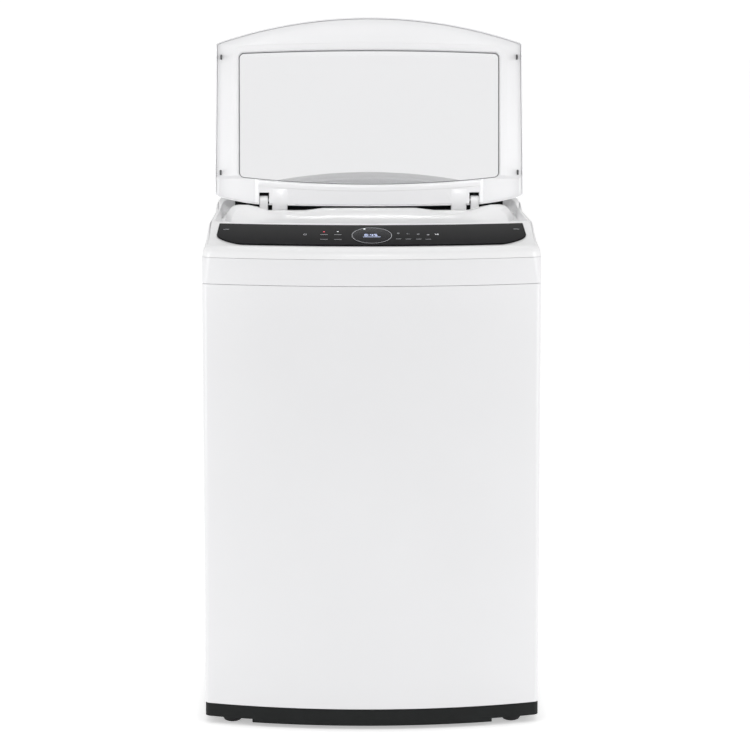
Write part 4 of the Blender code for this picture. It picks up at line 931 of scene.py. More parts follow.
def make_lid():
    """The lid: an outer cover with a rounded rim, an inner frame, and the pane between them."""
    def window(grow, z):
        return lid_ring(window_outline(grow), z)

    wide = PANE_EDGE + 0.0006
    rings = [lid_edge(0.0, LID_LOW), lid_edge(0.0, LID_TOP - 0.006), lid_edge(0.0012, LID_TOP - 0.0035),
             lid_edge(0.005, LID_TOP - 0.002), window(0.003, LID_TOP), window(0.0, LID_TOP - 0.0008),
             window(0.0, GLASS_TOP + GAP), window(wide, GLASS_TOP + GAP), window(wide, GLASS_LOW + GAP),
             lid_edge(0.0025, GLASS_LOW + GAP), lid_edge(0.0025, LID_LOW)]
    radii = (0.0008, 0.003, 0.0015, 0.002, 0.0008, 0.0003, 0.0, 0.0, 0.0, 0.0, 0.0006)
    cover = make_object("lid_cover", skin(soft_rings(rings, radii, 3, closed=True), closed=True))
    rings = [lid_edge(0.003, INNER_LOW), lid_edge(0.003, GLASS_LOW), window(0.0, GLASS_LOW),
             window(0.0, INNER_LOW + 0.003), window(0.0012, INNER_LOW + 0.0008), window(0.0042, INNER_LOW),
             window(0.0118, INNER_LOW), window(0.0128, INNER_LOW + 0.0005)]
    radii = (0.0009, 0.0, 0.0005, 0.0012, 0.0008, 0.001, 0.0006, 0.0006)
    inner = make_object("lid_frame", skin(soft_rings(rings, radii, 3, closed=True), closed=True))
    for side in (-1, 1):  # shallow hollows that clear the ledge's pads when the lid is shut
        hollow = [[Vector((side * (0.2075 + by), -0.046 + by, z)),
                   Vector((side * (0.286 - by), -0.046 + by, z)),
                   Vector((side * (0.286 - by), 0.03, z)), Vector((side * (0.2075 + by), 0.03, z))]
                  for by, z in ((0.0, INNER_LOW - 0.001), (0.0, INNER_LOW), (0.006, INNER_LOW + 0.004))]
        combine(inner, skin(hollow))
    narrow = PANE_EDGE - 0.0004
    rings = [window(narrow, GLASS_LOW + GAP), window(PANE_EDGE, GLASS_LOW + 0.0008),
             window(PANE_EDGE, GLASS_TOP - 0.0004), window(narrow, GLASS_TOP)]
    glass = make_object("lid_window", skin(rings))
    rings = [window(-0.0002, GLASS_LOW - 0.001), window(-0.0002, GLASS_LOW + GAP / 2),
             window(-0.0016, GLASS_LOW + GAP / 2), window(-0.0016, GLASS_LOW - 0.001)]
    piece("lid_pane_seal", skin(soft_rings(rings, (0.0003,) * 4, 2, closed=True), closed=True), "lid",
          "rubber_dark",
          turn=LID_TURN, finish="hose_grey")
    tab, notch, depth = (0.153, 0.1815), (0.1872, 0.2056), (-0.0146, 0.06)
    for name, side in SIDES:
        combine(inner, spans(tab, side, (-0.02, 0.0195), (INNER_LOW, GLASS_LOW), 0.001), "UNION")
        combine(cover, spans((tab[0] - 0.0005, tab[1] + 0.001), side, (-0.012, 0.06),
                             (-0.06, GLASS_LOW + GAP)))
        combine(inner, spans(notch, side, depth, (-0.06, 0.06)))
        combine(cover, spans(notch, side, depth, (-0.06, 0.0112)))
        # a thin black plate at the back of each hinge notch: painted shade where the notch lies in shadow
        shade_lining = spans((notch[0] + 0.0002, notch[1] - 0.0002), side, (depth[0] + 0.0002, 0.006),
                       (0.0104, 0.0109))
        piece("painted_shade_pocket_" + name, shade_lining, "lid", "rubber_dark", turn=LID_TURN, finish="base_black")
        ends = sorted((side * 0.1665, side * 0.19))
        combine(inner, rod(PIN_HOLE, *ends, 32, along="X"))
        ends = sorted((side * 0.168, side * 0.2055))
        piece("lid_pin_" + name, rod(PIN, *ends, 32, along="X", ease=0.0005), "lid", "shaft_steel",
              "hinge_pin_" + name, LID_TURN)
    settle(cover, "lid", "lid_white", "lid_outer", LID_TURN)
    settle(inner, "lid", "lid_white", "lid_inner", LID_TURN)
    settle(glass, "lid", "glass_grey", "lid_glass", LID_TURN)
    for end, y, out in (("front", -0.266, 0.2755), ("rear", -0.0515, 0.2773)):
        for name, side in SIDES:
            name = f"{end}_{name}"
            x, foot = side * out, RIM_Z + 0.0006 - HINGE.z
            pad = block((x - 0.0017, y - 0.0047, foot), (x + 0.0017, y + 0.0047, INNER_LOW - GAP), 0.0012, 5)
            piece("bumper_" + name, pad, "lid", "rubber_dark", "lid_bumper_" + name, LID_TURN, "bumper_grey")


def make_hinge_posts():
    """Two posts with rounded heads that stand in the trough behind the ledge and carry the lid's pins."""
    foot_z, radius = TROUGH_Z + GAP, 0.0085
    arc = [(radius * math.cos(a), HINGE.z + radius * math.sin(a))
           for a in (math.pi * i / 20 for i in range(21))]
    outline = [(radius + 0.0015, foot_z), (radius, foot_z + 0.008), *arc, (-radius, foot_z + 0.008),
               (-radius - 0.0015, foot_z)]
    for name, side in SIDES:
        low, high = sorted((side * 0.1895, side * 0.205))
        ease, rings = 0.0008, []
        for x, by in ((low, ease), (low + ease, 0.0), (high - ease, 0.0), (high, ease)):
            shrink = 1 - by / radius
            rings.append([Vector((x, HINGE.y + y * shrink, foot_z + (z - foot_z) * (1 - by / 0.04)))
                          for y, z in outline])
        post = make_object("post_" + name, skin(rings))
        combine(post, moved(rod(PIN_HOLE, low - 0.01, high + 0.01, 32, along="X"), at(0.0, HINGE.y, HINGE.z)))
        settle(post, "cabinet", "cover_white", "hinge_post_" + name)


# ---------------------------------------------------------------- base and feet


def make_base():
    """The black base: a skirt, a deeper kick between the front feet, an inner flange, and foot bosses."""
    skirt_low, kick_low, flange_low, top = 0.0125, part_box("base_frame")[0].z, 0.029, CABINET_BOTTOM - GAP
    kick_half = 0.211
    wall, back = case_outline(inset=0.0006), case_outline(inset=0.0036)
    flange = Outline(0.205, -0.175, 0.205, 0.06)
    section = ((wall, skirt_low, 0.0006), (wall, top, 0.001), (flange, top, 0.001),
               (flange, flange_low, 0.0008),
               (back, flange_low, 0.0), (back, skirt_low, 0.0006))
    rings = soft_rings([level(o.points(), z) for o, z, _ in section], [e for _, _, e in section], 3,
                       closed=True)
    base = make_object("base", skin(rings, closed=True))
    xs = [-kick_half + 2 * kick_half * i / 40 for i in range(41)]
    outside, inside = case_outline(inset=0.0011), case_outline(inset=0.0031)
    kick = [(x, outside.front_at(x)) for x in xs] + [(x, inside.front_at(x)) for x in reversed(xs)]
    combine(base, prism(kick, kick_low, skirt_low + 0.004), "UNION")
    for node in ("front_left_foot", "front_right_foot", "rear_left_foot", "rear_right_foot"):
        spot = centre_of(node)
        place = at(spot.x, spot.y, 0.0)
        combine(base, moved(rod(0.012, 0.015, flange_low + 0.002, 40, ease=0.0006), place), "UNION")
        combine(base, moved(rod(0.0054, 0.01, 0.031, 32), place))
    settle(base, "cabinet", "base_black", "base_frame")


def make_feet():
    """A domed rubber foot with grip rings under a flange, on a threaded stud."""
    dome = mm((0, 0), (9.5, 0), (14, 2), (16.8, 6), (17.6, 10), (17, 10.6), (17, 11.4), (17.6, 12),
              (17.6, 13.8), (0, 14))
    thread = [(0.0, 0.0139)]
    for turn in range(13):
        z = 0.0142 + 0.0012 * turn
        thread += [(0.0043, z), (0.005, z + 0.0006)]
    thread += [(0.0043, 0.03), (0.0, 0.03)]
    for node, body in (("front_left_foot", "front_left_levelling_foot"), ("rear_left_foot", "cabinet"),
                       ("front_right_foot", "front_right_levelling_foot"), ("rear_right_foot", "cabinet")):
        spot = centre_of(node)
        place = at(spot.x, spot.y, 0.0)
        piece(node.replace("foot", "pad"), moved(lathe(dome, 64, 0.0005), place), body, "rubber_dark", node)
        piece(node.replace("foot", "stud"), moved(lathe(thread, 32, 0.0), place), body, "shaft_steel")


# ---------------------------------------------------------------- drum, tub and what turns in them


DRUM_RADIUS, DRUM_SKIN = 0.243, 0.0015
SWELL, DRUM_HOLE = 0.0022, 0.002  # how deep the wall is embossed, and the radius of its holes


def make_drum():
    """The stainless drum: an embossed and perforated wall with a dished floor."""
    low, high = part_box("wash_drum")
    floor_z, top_z = low.z, high.z
    inner = DRUM_RADIUS - DRUM_SKIN
    fields, columns, rows, diamonds = 12, 12, 38, 9
    sides = fields * columns
    z0, z1 = floor_z + 0.024, top_z - 0.006
    bm = bmesh.new()

    def wall_point(column, row):
        """The wall swells inwards in soft diamonds between the fields."""
        wave = 0.5 + 0.5 * math.cos(diamonds * 2 * math.pi * row / rows)
        swell = math.sin(math.pi * (column % columns) / columns) ** 2 * wave
        radius = inner - SWELL * swell * smooth(row / 3) * smooth((rows - row) / 3)
        turn = 2 * math.pi * column / sides
        return Vector((radius * math.cos(turn), radius * math.sin(turn), z0 + (z1 - z0) * row / rows))

    def band(low, high):
        return [bm.faces.new((low[i], low[(i + 1) % sides], high[(i + 1) % sides], high[i]))
                for i in range(sides)]

    grid = [[bm.verts.new(wall_point(c, r)) for c in range(sides)] for r in range(rows + 1)]
    cells = [band(*pair) for pair in zip(grid, grid[1:])]
    for r in range(1, rows - 1):
        for c, face in enumerate(cells[r]):
            if c % columns in (1, 3, 5, 6, 8, 10) and (r + c % columns // 2) % 2 == 0:
                pierce(bm, face, DRUM_HOLE)
    dish = [(inner - 0.0005, 0.0185), (0.2385, 0.01), (0.2315, 0.005), (0.2235, 0.0022), (0.21, 0.0015),
            (0.19, 0.003), (0.17, 0.003), (0.15, 0.0015), (0.03, 0.0015)]
    for ring, lines in ((grid[0], [(radius, floor_z + up) for radius, up in dish]),
                        (grid[-1], [(inner, top_z - 0.004), (inner, top_z)])):
        for radius, z in lines:
            ring, before = [bm.verts.new(p) for p in level(circle(radius, sides), z)], ring
            band(before, ring)
    drum = make_object("drum", bm)
    wall = drum.modifiers.new("wall", "SOLIDIFY")
    sample = drum.data.polygons[sides * 10]
    wall.thickness, wall.offset = DRUM_SKIN * 0.85, -1.0 if sample.normal.dot(sample.center) < 0 else 1.0
    bake_modifiers(drum, 40.0)
    settle(drum, "drum", "drum_steel", "wash_drum")


def pierce(bm, face, radius):
    """Puts an eight-sided hole in the middle of a four-sided face."""
    middle, corners = face.calc_center_median(), list(face.verts)
    sizes = [v.co - middle for v in corners]
    across, up = (sizes[1] - sizes[0]).normalized(), (sizes[3] - sizes[0]).normalized()
    rim = [bm.verts.new(middle + radius * (across * math.cos(a) + up * math.sin(a)))
           for a in (math.radians(-135 + 45 * i) for i in range(8))]
    bm.faces.remove(face)
    for i in range(4):
        bm.faces.new((corners[i], corners[(i + 1) % 4], rim[(2 * i + 2) % 8], rim[2 * i + 1], rim[2 * i]))


def make_balance_ring():
    """The hollow white ring on the drum's rim, with its weld bead and shallow ribs round the inner lip."""
    low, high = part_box("balance_ring")
    profile = [(0.212, low.z), (DRUM_RADIUS, low.z), (DRUM_RADIUS, 0.748), (DRUM_RADIUS - 0.001, 0.7486),
               (DRUM_RADIUS - 0.001, 0.7506), (DRUM_RADIUS, 0.7512), (DRUM_RADIUS, 0.772),
               (0.2385, high.z - 0.0005),
               (0.232, high.z), (0.231, high.z - 0.001), (0.227, high.z - 0.001), (0.226, high.z),
               (0.218, high.z), (0.2065, 0.7735), (0.2025, 0.76), (0.2045, 0.74)]
    piece("balance_rim", lathe(profile, 144, 0.0016, 4), "drum", "ring_white", "balance_ring")
    rib = block((0.2052, -0.0012, 0.735), (0.209, 0.0012, 0.763), 0.0008)
    piece("balance_rim_ribs", copies(rib, around(24, 0.5)), "drum", "ring_white")


def make_tub_ring():
    """The ring that closes the tub's rim, with stiffening ribs on its slope."""
    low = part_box("tub_ring")[0].z
    profile = [(0.212, 0.786), (0.224, 0.7905), (0.2645, 0.789), (0.2645, low), (0.259, low), (0.259, 0.785),
               (0.226, 0.7865), (0.2132, 0.7825)]
    piece("tub_cap", lathe(profile, 144, 0.0009), "tub", "ring_white", "tub_ring")
    rib = block((0.229, -0.0009, 0.7885), (0.261, 0.0009, 0.7905), 0.0005)
    piece("tub_cap_ribs", copies(rib, around(36)), "tub", "ring_white")


DISH_Z, CONE_RISE, RIM_DROP = 0.244, 0.037, 0.005  # the plate's height, and how it rises and drops
VANE_START, VANE_SWEEP, VANE_HALF = 0.03, 2.6, 0.0075  # radius, radians per metre, half a vane's thickness
VANE_TOP, VANE_FALL = 0.2858, 0.034


def make_pulsator():
    """The plate at the drum's bottom: six swept vanes, rings of drain holes and a round cap in the middle."""
    low_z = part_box("pulsator")[0].z
    sides, bands, vanes = 180, 34, 6
    inner, outer = 0.0084, 0.168

    def height(radius, turn):
        ground = DISH_Z + CONE_RISE * (1 - smooth((radius - 0.012) / 0.115)) ** 1.3
        ground -= RIM_DROP * smooth((radius - 0.15) / 0.018)
        phase = ((turn - VANE_SWEEP * (radius - VANE_START)) * vanes / (2 * math.pi)) % 1.0
        off = min(phase, 1 - phase) * 2 * math.pi / vanes * radius
        crest = VANE_TOP - VANE_FALL * smooth((radius - VANE_START) / 0.126)
        ends = smooth((radius - 0.024) / 0.016) * (1 - smooth((radius - 0.146) / 0.016))
        return ground + max(0.0, crest - ground) * ends * math.exp(-(off / VANE_HALF) ** 2)

    rings = []
    for b in range(bands + 1):
        radius = inner + (outer - inner) * (b / bands)
        rings.append([Vector((radius * math.cos(t), radius * math.sin(t), height(radius, t)))
                      for t in (2 * math.pi * i / sides for i in range(sides))])
    rings += [level(circle(radius, sides), low_z + up)
              for radius, up in ((outer, 0.001), (outer - 0.002, 0.0002), (inner, 0.002))]
    plate = make_object("agitator_plate", skin(rings, closed=True), 50.0)
    for radius, start in ((0.15, 0.0), (0.138, 0.5)):
        spots = [at(x, y, 0.0) for x, y in circle(radius, 30, 2 * math.pi * start / 30)]
        combine(plate, copies(rod(0.0022, 0.22, 0.27, 12), spots))
    settle(plate, "pulsator", "pulsator_grey", "pulsator")
    foot_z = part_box("pulsator_bolt")[0].z
    head = make_object("bolt_head", lathe([(0.0, foot_z), (0.006, foot_z), (0.006, 0.2814), (0.012, 0.2814),
                                           (0.012, 0.285), (0.0085, 0.2875), (0.0, 0.288)], 48, 0.0004))
    combine(head, prism(circle(0.004, 6), 0.2835, 0.29))
    settle(head, "pulsator", "shaft_steel", "pulsator_bolt")


def make_filters():
    """Two lint filters on the drum's wall: a curved frame round a fine slotted face."""
    outer, spread = DRUM_RADIUS - DRUM_SKIN - SWELL, math.radians(10.5)
    face = outer - 0.013
    outline = [(outer * math.cos(a), outer * math.sin(a)) for a in (-spread + 2 * spread * i / 16
        for i in range(17))]
    for i in range(1, 16):
        angle, reach = spread - 2 * spread * i / 16, face + 0.004 * abs(i / 8 - 1) ** 2
        outline.append((reach * math.cos(angle), reach * math.sin(angle)))
    for name, turn in (("left", math.pi), ("right", 0.0)):
        low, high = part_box("lint_filter_" + name)
        body = make_object("filter_" + name, prism(outline, low.z, high.z, 0.002))
        slot = block((face - 0.004, -0.03, 0.0), (face + 0.003, 0.03, 0.0055), 0.0008)
        combine(body, copies(slot, [at(0.0, 0.0, low.z + 0.022 + 0.0105 * i) for i in range(13)]))
        settle(body, "drum", "filter_blue", "lint_filter_" + name, turned(turn))


# ---------------------------------------------------------------- the rear wall and what stands in it


def facing_rear(x, y, z):
    """A seat whose own +Z points out of the machine's rear."""
    return at(x, y, z) @ turned(-math.pi / 2, "X")


def screw(radius=0.0042):
    """A washer-head screw with a cross-shaped recess, pointing up its own Z."""
    head = make_object("head", lathe([(0.0, -0.0004), (radius * 1.25, -0.0004), (radius * 1.25, 0.0004),
                                      (radius, 0.0008), (radius * 0.9, 0.0022), (radius * 0.5, 0.0027),
                                      (0.0, 0.0028)], 28, 0.0002))
    arm, thin = radius * 0.55, radius * 0.12
    combine(head, block((-arm, -thin, 0.0012), (arm, thin, 0.004)))
    combine(head, block((-thin, -arm, 0.0012), (thin, arm, 0.004)))
    return taken(head)


PRESS_DEPTH, RIB_RISE, LOUVRE_RISE = 0.0058, 0.0034, 0.004


def make_rear_panel():
    """The galvanised rear sheet: a pressed field with ribs, vent louvres and a flat seat round each hole."""
    low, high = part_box("rear_panel")
    outside_y = high.y
    border, ramp = 0.045, 0.008
    seats = ((centre_of("power_cord_gland"), 0.0095, 0.024), (centre_of("drain_outlet"), 0.015, 0.03))
    ribs = [0.115 + 0.085 * i for i in range(6)]
    louvres = [(x, z) for x in (-0.12, 0.12) for z in (0.6, 0.614, 0.628, 0.642)]

    def out(x, z):
        """How far the sheet's face stays in front of the plane of its border."""
        edge = min(x - low.x, high.x - x, z - low.z, high.z - z)
        deep = PRESS_DEPTH * smooth((edge - border) / ramp)
        raised = 0.0
        for rib_z in ribs:
            ends = smooth((0.195 - abs(x)) / 0.012)
            raised = max(raised, RIB_RISE * ends * math.exp(-((z - rib_z) / 0.0075) ** 2))
        for mid_x, mid_z in louvres:
            along = smooth((0.036 - abs(x - mid_x)) / 0.008)
            upwards = smooth((z - mid_z + 0.0045) / 0.007) if z < mid_z + 0.0045 else 0.0
            raised = max(raised, LOUVRE_RISE * along * upwards)
        for spot, _, flat in seats:
            raised *= smooth((math.hypot(x - spot.x, z - spot.z) - flat) / 0.008)
        return deep - raised

    xs = sorted({*(low.x + (high.x - low.x) * i / 110 for i in range(111)),
                 *(side * (high.x - border - ramp * i / 6) for side in (-1, 1) for i in range(7))})
    zs = sorted({*(low.z + (high.z - low.z) * i / 270 for i in range(271)),
                 *(low.z + border + ramp * i / 5 for i in range(6)),
                 *(high.z - border - ramp * i / 5 for i in range(6))})
    rows = [[Vector((x, outside_y - out(x, z), z)) for x in xs] for z in zs]
    panel = make_object("rear_sheet", skin(rows, caps=False, around=False))
    thicken_inwards(panel, SHEET, Vector((0.0, 0.0, 0.4)))
    for spot, radius, _ in seats:
        combine(panel, moved(rod(radius, 0.27, 0.31, 48, along="Y"), at(spot.x, 0.0, spot.z)))
    settle(panel, "cabinet", "zinc_steel", "rear_panel")
    spots = [(x, z) for x in (-0.262, 0.262) for z in (0.06, 0.23, 0.41, 0.59, 0.76)]
    spots += [(x, z) for x in (-0.13, 0.13) for z in (0.052, 0.764)]
    heads = copies(screw(0.0036), [facing_rear(x, outside_y, z) for x, z in spots])
    piece("rear_screws", heads, "cabinet", "shaft_steel")


def make_inlets():
    """The bay in the rear wall, and in front of it a hot and a cold valve with coils and screened inlets."""
    low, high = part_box("inlet_bay")
    bay = make_object("inlet_recess", block(low, high, 0.0012))
    inside = block((low.x + 0.002, low.y + 0.002, low.z + 0.002), (high.x - 0.002, high.y + 0.02,
        high.z - 0.002), 0.003)
    combine(bay, inside)
    nozzle = [(0.0, 0.0), (0.0095, 0.0), (0.0095, 0.0118)]
    for turn in range(5):
        z = 0.0126 + 0.0032 * turn
        nozzle += [(0.0096, z), (0.0108, z + 0.001), (0.0108, z + 0.0016), (0.0096, z + 0.0026)]
    nozzle += mm((9.6, 29.4), (9.2, 30), (7.6, 30), (7.2, 29.4), (7.2, 10), (0, 10))
    screen = mm((0, 0), (7, 0), (7, 1), (5.6, 1.6), (3.6, 9), (0, 9.4))
    for name, tone in (("hot_inlet_valve", "valve_red"), ("cold_inlet_valve", "valve_blue")):
        x = centre_of(name).x
        combine(bay, moved(rod(0.0105, 0.26, 0.28, 48, along="Y"), at(x, 0.0, (low.z + high.z) / 2)))
        seat = facing_rear(x, low.y - GAP, (low.z + high.z) / 2)
        valve = make_object(name.replace("_inlet", ""), lathe(nozzle, 64, 0.0002))
        combine(valve, block((-0.014, -0.014, -0.03), (0.014, 0.014, 0.0), 0.0022), "UNION")
        combine(valve, rod(0.0075, -0.016, -0.01, 40, along="Y", ease=0.0006), "UNION")
        settle(valve, "cabinet", tone, name, seat)
        coil = joined(moved(lathe(mm((0, -34), (10, -34), (10, -32), (8.6, -31.2), (8.6, -18.8), (10, -18),
                                     (10, -16.2), (0, -16.2)), 48, 0.0005),
                            at(0.0, 0.0, -0.0155) @ turned(-math.pi / 2, "X")),
                      block((-0.008, -0.0335, -0.0285), (0.008, -0.0165, -0.025), 0.001))
        piece(name.replace("_inlet_valve", "_coil"), coil, "cabinet", "rubber_dark",
              turn=seat @ turned(math.pi), finish="base_black")
        mesh = lathe(screen, 40, 0.0003)
        piece(name.replace("_inlet_valve", "_screen"), mesh, "cabinet", "ring_white",
              turn=seat @ at(0.0, 0.0, 0.0104))
    settle(bay, "cabinet", "tub_grey", "inlet_bay")


def make_rear_fittings():
    """The cord's bushing, and the stub that the outside drain hose pushes on to."""
    spot, low = centre_of("power_cord_gland"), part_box("power_cord_gland")[0]
    bushing = mm((5, 0), (8.6, 0), (9, 0.6), (9, 4), (12, 4), (12.2, 5.2), (12, 6.6), (10.8, 7), (10.4, 8.2),
                 (6.2, 8.5), (5, 8))
    piece("cord_bushing", lathe(bushing, 64, 0.0004), "cabinet", "rubber_dark",
          "power_cord_gland", facing_rear(spot.x, low.y, spot.z))
    spot, low = centre_of("drain_outlet"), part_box("drain_outlet")[0]
    stub = mm((10, 0), (14.5, 0), (14.5, 4), (18, 4), (18, 5.8), (13.4, 6.2), (13.4, 6.8), (13.9, 7.2),
              (13, 8.8), (10.4, 8.8), (10, 8.4))
    piece("drain_stub", lathe(stub, 72, 0.0003), "cabinet", "hose_grey", "drain_outlet",
          facing_rear(spot.x, low.y, spot.z))


# ---------------------------------------------------------------- drawer, lid lock and control unit


def make_drawer():
    """The detergent drawer with two compartments, a softener cap and a finger scoop, and its housing."""
    low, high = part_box("detergent_drawer")
    wall, split = 0.0022, low.x + 0.089
    tray = make_object("drawer_tray", block(low, high, 0.0016, 4))
    for x0, x1 in ((low.x + wall, split - 0.001), (split + 0.001, high.x - wall)):
        pocket = Outline((x1 - x0) / 2, low.y + wall + 0.006, high.y - wall, 0.008, 30.0)
        floor_z = low.z + wall
        rings = ((pocket.inset(0.0025), floor_z), (pocket, floor_z + 0.0025), (pocket, high.z + 0.01))
        hollow = skin([level(outline.points(4, 6, 4, 4), z) for outline, z in rings])
        combine(tray, moved(hollow, at((x0 + x1) / 2, 0.0, 0.0)))
    combine(tray, moved(rod(0.012, low.x + 0.045, high.x - 0.045, 48, along="X", ease=0.0015),
                        at(0.0, low.y - 0.0108, (low.z + high.z) / 2)))
    lip = block((low.x + 0.004, low.y + 0.0005, high.z - 0.003), (high.x - 0.004, low.y + 0.008, high.z),
                0.001)
    combine(tray, lip, "UNION")
    settle(tray, "drawer", "ring_white", "detergent_drawer")
    cap = make_object("softener_cap", block((split + 0.002, low.y + 0.06, high.z - 0.007),
                                            (high.x - wall - 0.001, low.y + 0.12, high.z - 0.004), 0.0012))
    dome = lathe(mm((0, 0), (11, 0), (10, 2.8), (0, 3.2)), 40, 0.0008)
    middle = (split + high.x) / 2
    combine(cap, moved(dome, at(middle, low.y + 0.09, high.z - 0.0044)), "UNION")
    settle(cap, "drawer", "filter_blue")
    low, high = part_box("drawer_housing")
    sleeve = make_object("drawer_sleeve", block(low, high, 0.0016))
    combine(sleeve, block((low.x + wall, low.y - 0.02, low.z + wall), (high.x - wall, high.y - wall,
        high.z - wall)))
    settle(sleeve, "cabinet", "tub_grey", "drawer_housing")


def make_lid_lock():
    """The sealed lock: a two-part body with a bolt slot, and a plug."""
    low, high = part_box("lid_lock")
    middle = (low + high) / 2
    body = make_object("lock_body", block(low, high, 0.0022, 4))
    combine(body, block((middle.x - 0.0045, middle.y - 0.012, high.z - 0.006),
                        (middle.x + 0.0045, middle.y + 0.012, 1.0),
                        0.0008))
    outside = (low.x - 0.01, low.y - 0.01, middle.z), (high.x + 0.01, high.y + 0.01, middle.z + 0.0006)
    groove = make_object("groove", block(*outside))
    combine(groove, block((low.x + 0.0008, low.y + 0.0008, 0.7), (high.x - 0.0008, high.y - 0.0008, 0.9)))
    combine(body, taken(groove))
    settle(body, "cabinet", "tub_grey", "lid_lock")
    plug = block((middle.x - 0.009, low.y - 0.01, low.z + 0.006), (middle.x + 0.009, low.y - 0.0005,
        low.z + 0.018), 0.001)
    piece("lock_plug", plug, "cabinet", "ring_white")


def make_control_board():
    """The parts on the sealed control board that hangs below the panel: relays, capacitors and plugs."""
    def below(x, depth, drop):
        return Vector((x, FRONT_Y + sagitta(x, BOW_RADIUS) + depth, fascia_z(depth) - WALL - 0.011 - drop))

    cans = []
    for x, depth in ((-0.105, 0.055), (-0.088, 0.056), (0.036, 0.058), (0.052, 0.058)):
        foot = below(x, depth, 0.0162)
        cans.append(moved(rod(0.0062, 0.0, 0.015, 36, ease=0.0008), at(*foot)))
    for i in range(5):
        spot = below(-0.055 + 0.018 * i, 0.07, 0.0)
        cans.append(block(spot + Vector((-0.007, -0.008, -0.014)), spot + Vector((0.007, 0.008, -0.0022)),
                          0.001))
    piece("board_relays", joined(*cans), "cabinet", "rubber_dark", finish="base_black")
    plugs = []
    for i in range(4):
        spot = below(0.078 + 0.017 * i, 0.066, 0.0)
        plugs.append(block(spot + Vector((-0.0065, -0.005, -0.011)), spot + Vector((0.0065, 0.005, -0.0022)),
                           0.0006))
    piece("board_plugs", joined(*plugs), "cabinet", "ring_white")


# ---------------------------------------------------------------- suspension


CORNERS = ("front_left", "front_right", "rear_left", "rear_right")


def make_suspension():
    """Each rod with its head, washer, foot cup and crimp, and the spring that stands in the cup."""
    for corner in CORNERS:
        low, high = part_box("suspension_rod_" + corner)
        x, y = (low.x + high.x) / 2, (low.y + high.y) / 2
        profile = [(0.0, low.z), (0.016, low.z), (0.019, low.z + 0.0018), (0.019, 0.0823), (0.0178, 0.0825),
                   (0.0172, 0.08), (0.0085, 0.08), (0.0075, 0.0823), (0.0045, 0.0825), (0.0045, 0.7612),
                   (0.012, 0.7612), (0.012, 0.763), (0.0082, 0.7634), (0.0078, 0.77), (0.006, high.z),
                   (0.0, high.z)]
        rod_piece = make_object("rod_" + corner, lathe(profile, 48, 0.0005))
        settle(rod_piece, "cabinet", "shaft_steel", "suspension_rod_" + corner, at(x, y, 0.0))
        wire, coil, turns, steps = 0.0018, 0.014, 7.0, 28
        bottom, top = 0.0825 + GAP + wire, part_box("suspension_spring_" + corner)[1].z - wire
        count = int(turns * steps)
        path = []
        for i in range(count + 1):
            turn = i / steps
            climb = min(1.0, max(0.0, (turn - 0.8) / (turns - 1.6)))
            share = 0.25 * smooth((turn - 0.5) / (turns - 1.0)) + 0.75 * climb
            dead = 0.88 * wire * (min(turn, 1.0) + max(0.0, turn - turns + 1.0))
            angle = 2 * math.pi * turn
            rise = bottom + dead + (top - bottom - 1.76 * wire) * share
            path.append((x + coil * math.cos(angle), y + coil * math.sin(angle), min(rise, top)))
        spring = make_object("spring_" + corner, tube(path, wire, 12))
        settle(spring, "cabinet", "zinc_steel", "suspension_spring_" + corner)
        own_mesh(spring)


# ---------------------------------------------------------------- the tub's outside, the drive and the pump


def make_outer_tub():
    """The tub's wall and floor in one moulding, with hoops, upright ribs and ribs under the floor."""
    low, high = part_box("outer_tub")
    radius, wall = high.x, 0.003
    inner = radius - wall
    section = [(0.045, low.z), (0.24, low.z), (radius - 0.006, low.z + 0.006), (radius, low.z + 0.016),
               (radius, high.z), (inner, high.z), (inner, low.z + 0.0175), (0.2385, low.z + 0.0035),
               (0.045, low.z + 0.0035)]
    parts = [lathe(section, 144, 0.001)]
    for z in (0.33, 0.45, 0.57, 0.69):
        parts.append(lathe([(radius - 0.001, z - 0.0014), (radius + 0.005, z - 0.001),
                            (radius + 0.005, z + 0.001),
                            (radius - 0.001, z + 0.0014)], 144, 0.0005))
    upright = block((radius - 0.001, -0.0012, low.z + 0.018), (radius + 0.0042, 0.0012, high.z - 0.004),
                    0.0007)
    parts.append(copies(upright, around(36, 0.5)))
    under = block((0.13, -0.001, low.z - 0.0042), (0.238, 0.001, low.z + 0.0006), 0.0005)
    parts.append(copies(under, around(48)))
    for r in (0.165, 0.2):
        parts.append(lathe([(r - 0.001, low.z + 0.0006), (r + 0.001, low.z + 0.0006),
                            (r + 0.001, low.z - 0.004),
                            (r - 0.001, low.z - 0.004)], 96, 0.0004))
    piece("tub_moulding", joined(*parts), "tub", "tub_grey", "outer_tub")


def rod_spots():
    return [centre_of("suspension_rod_" + corner) for corner in CORNERS]


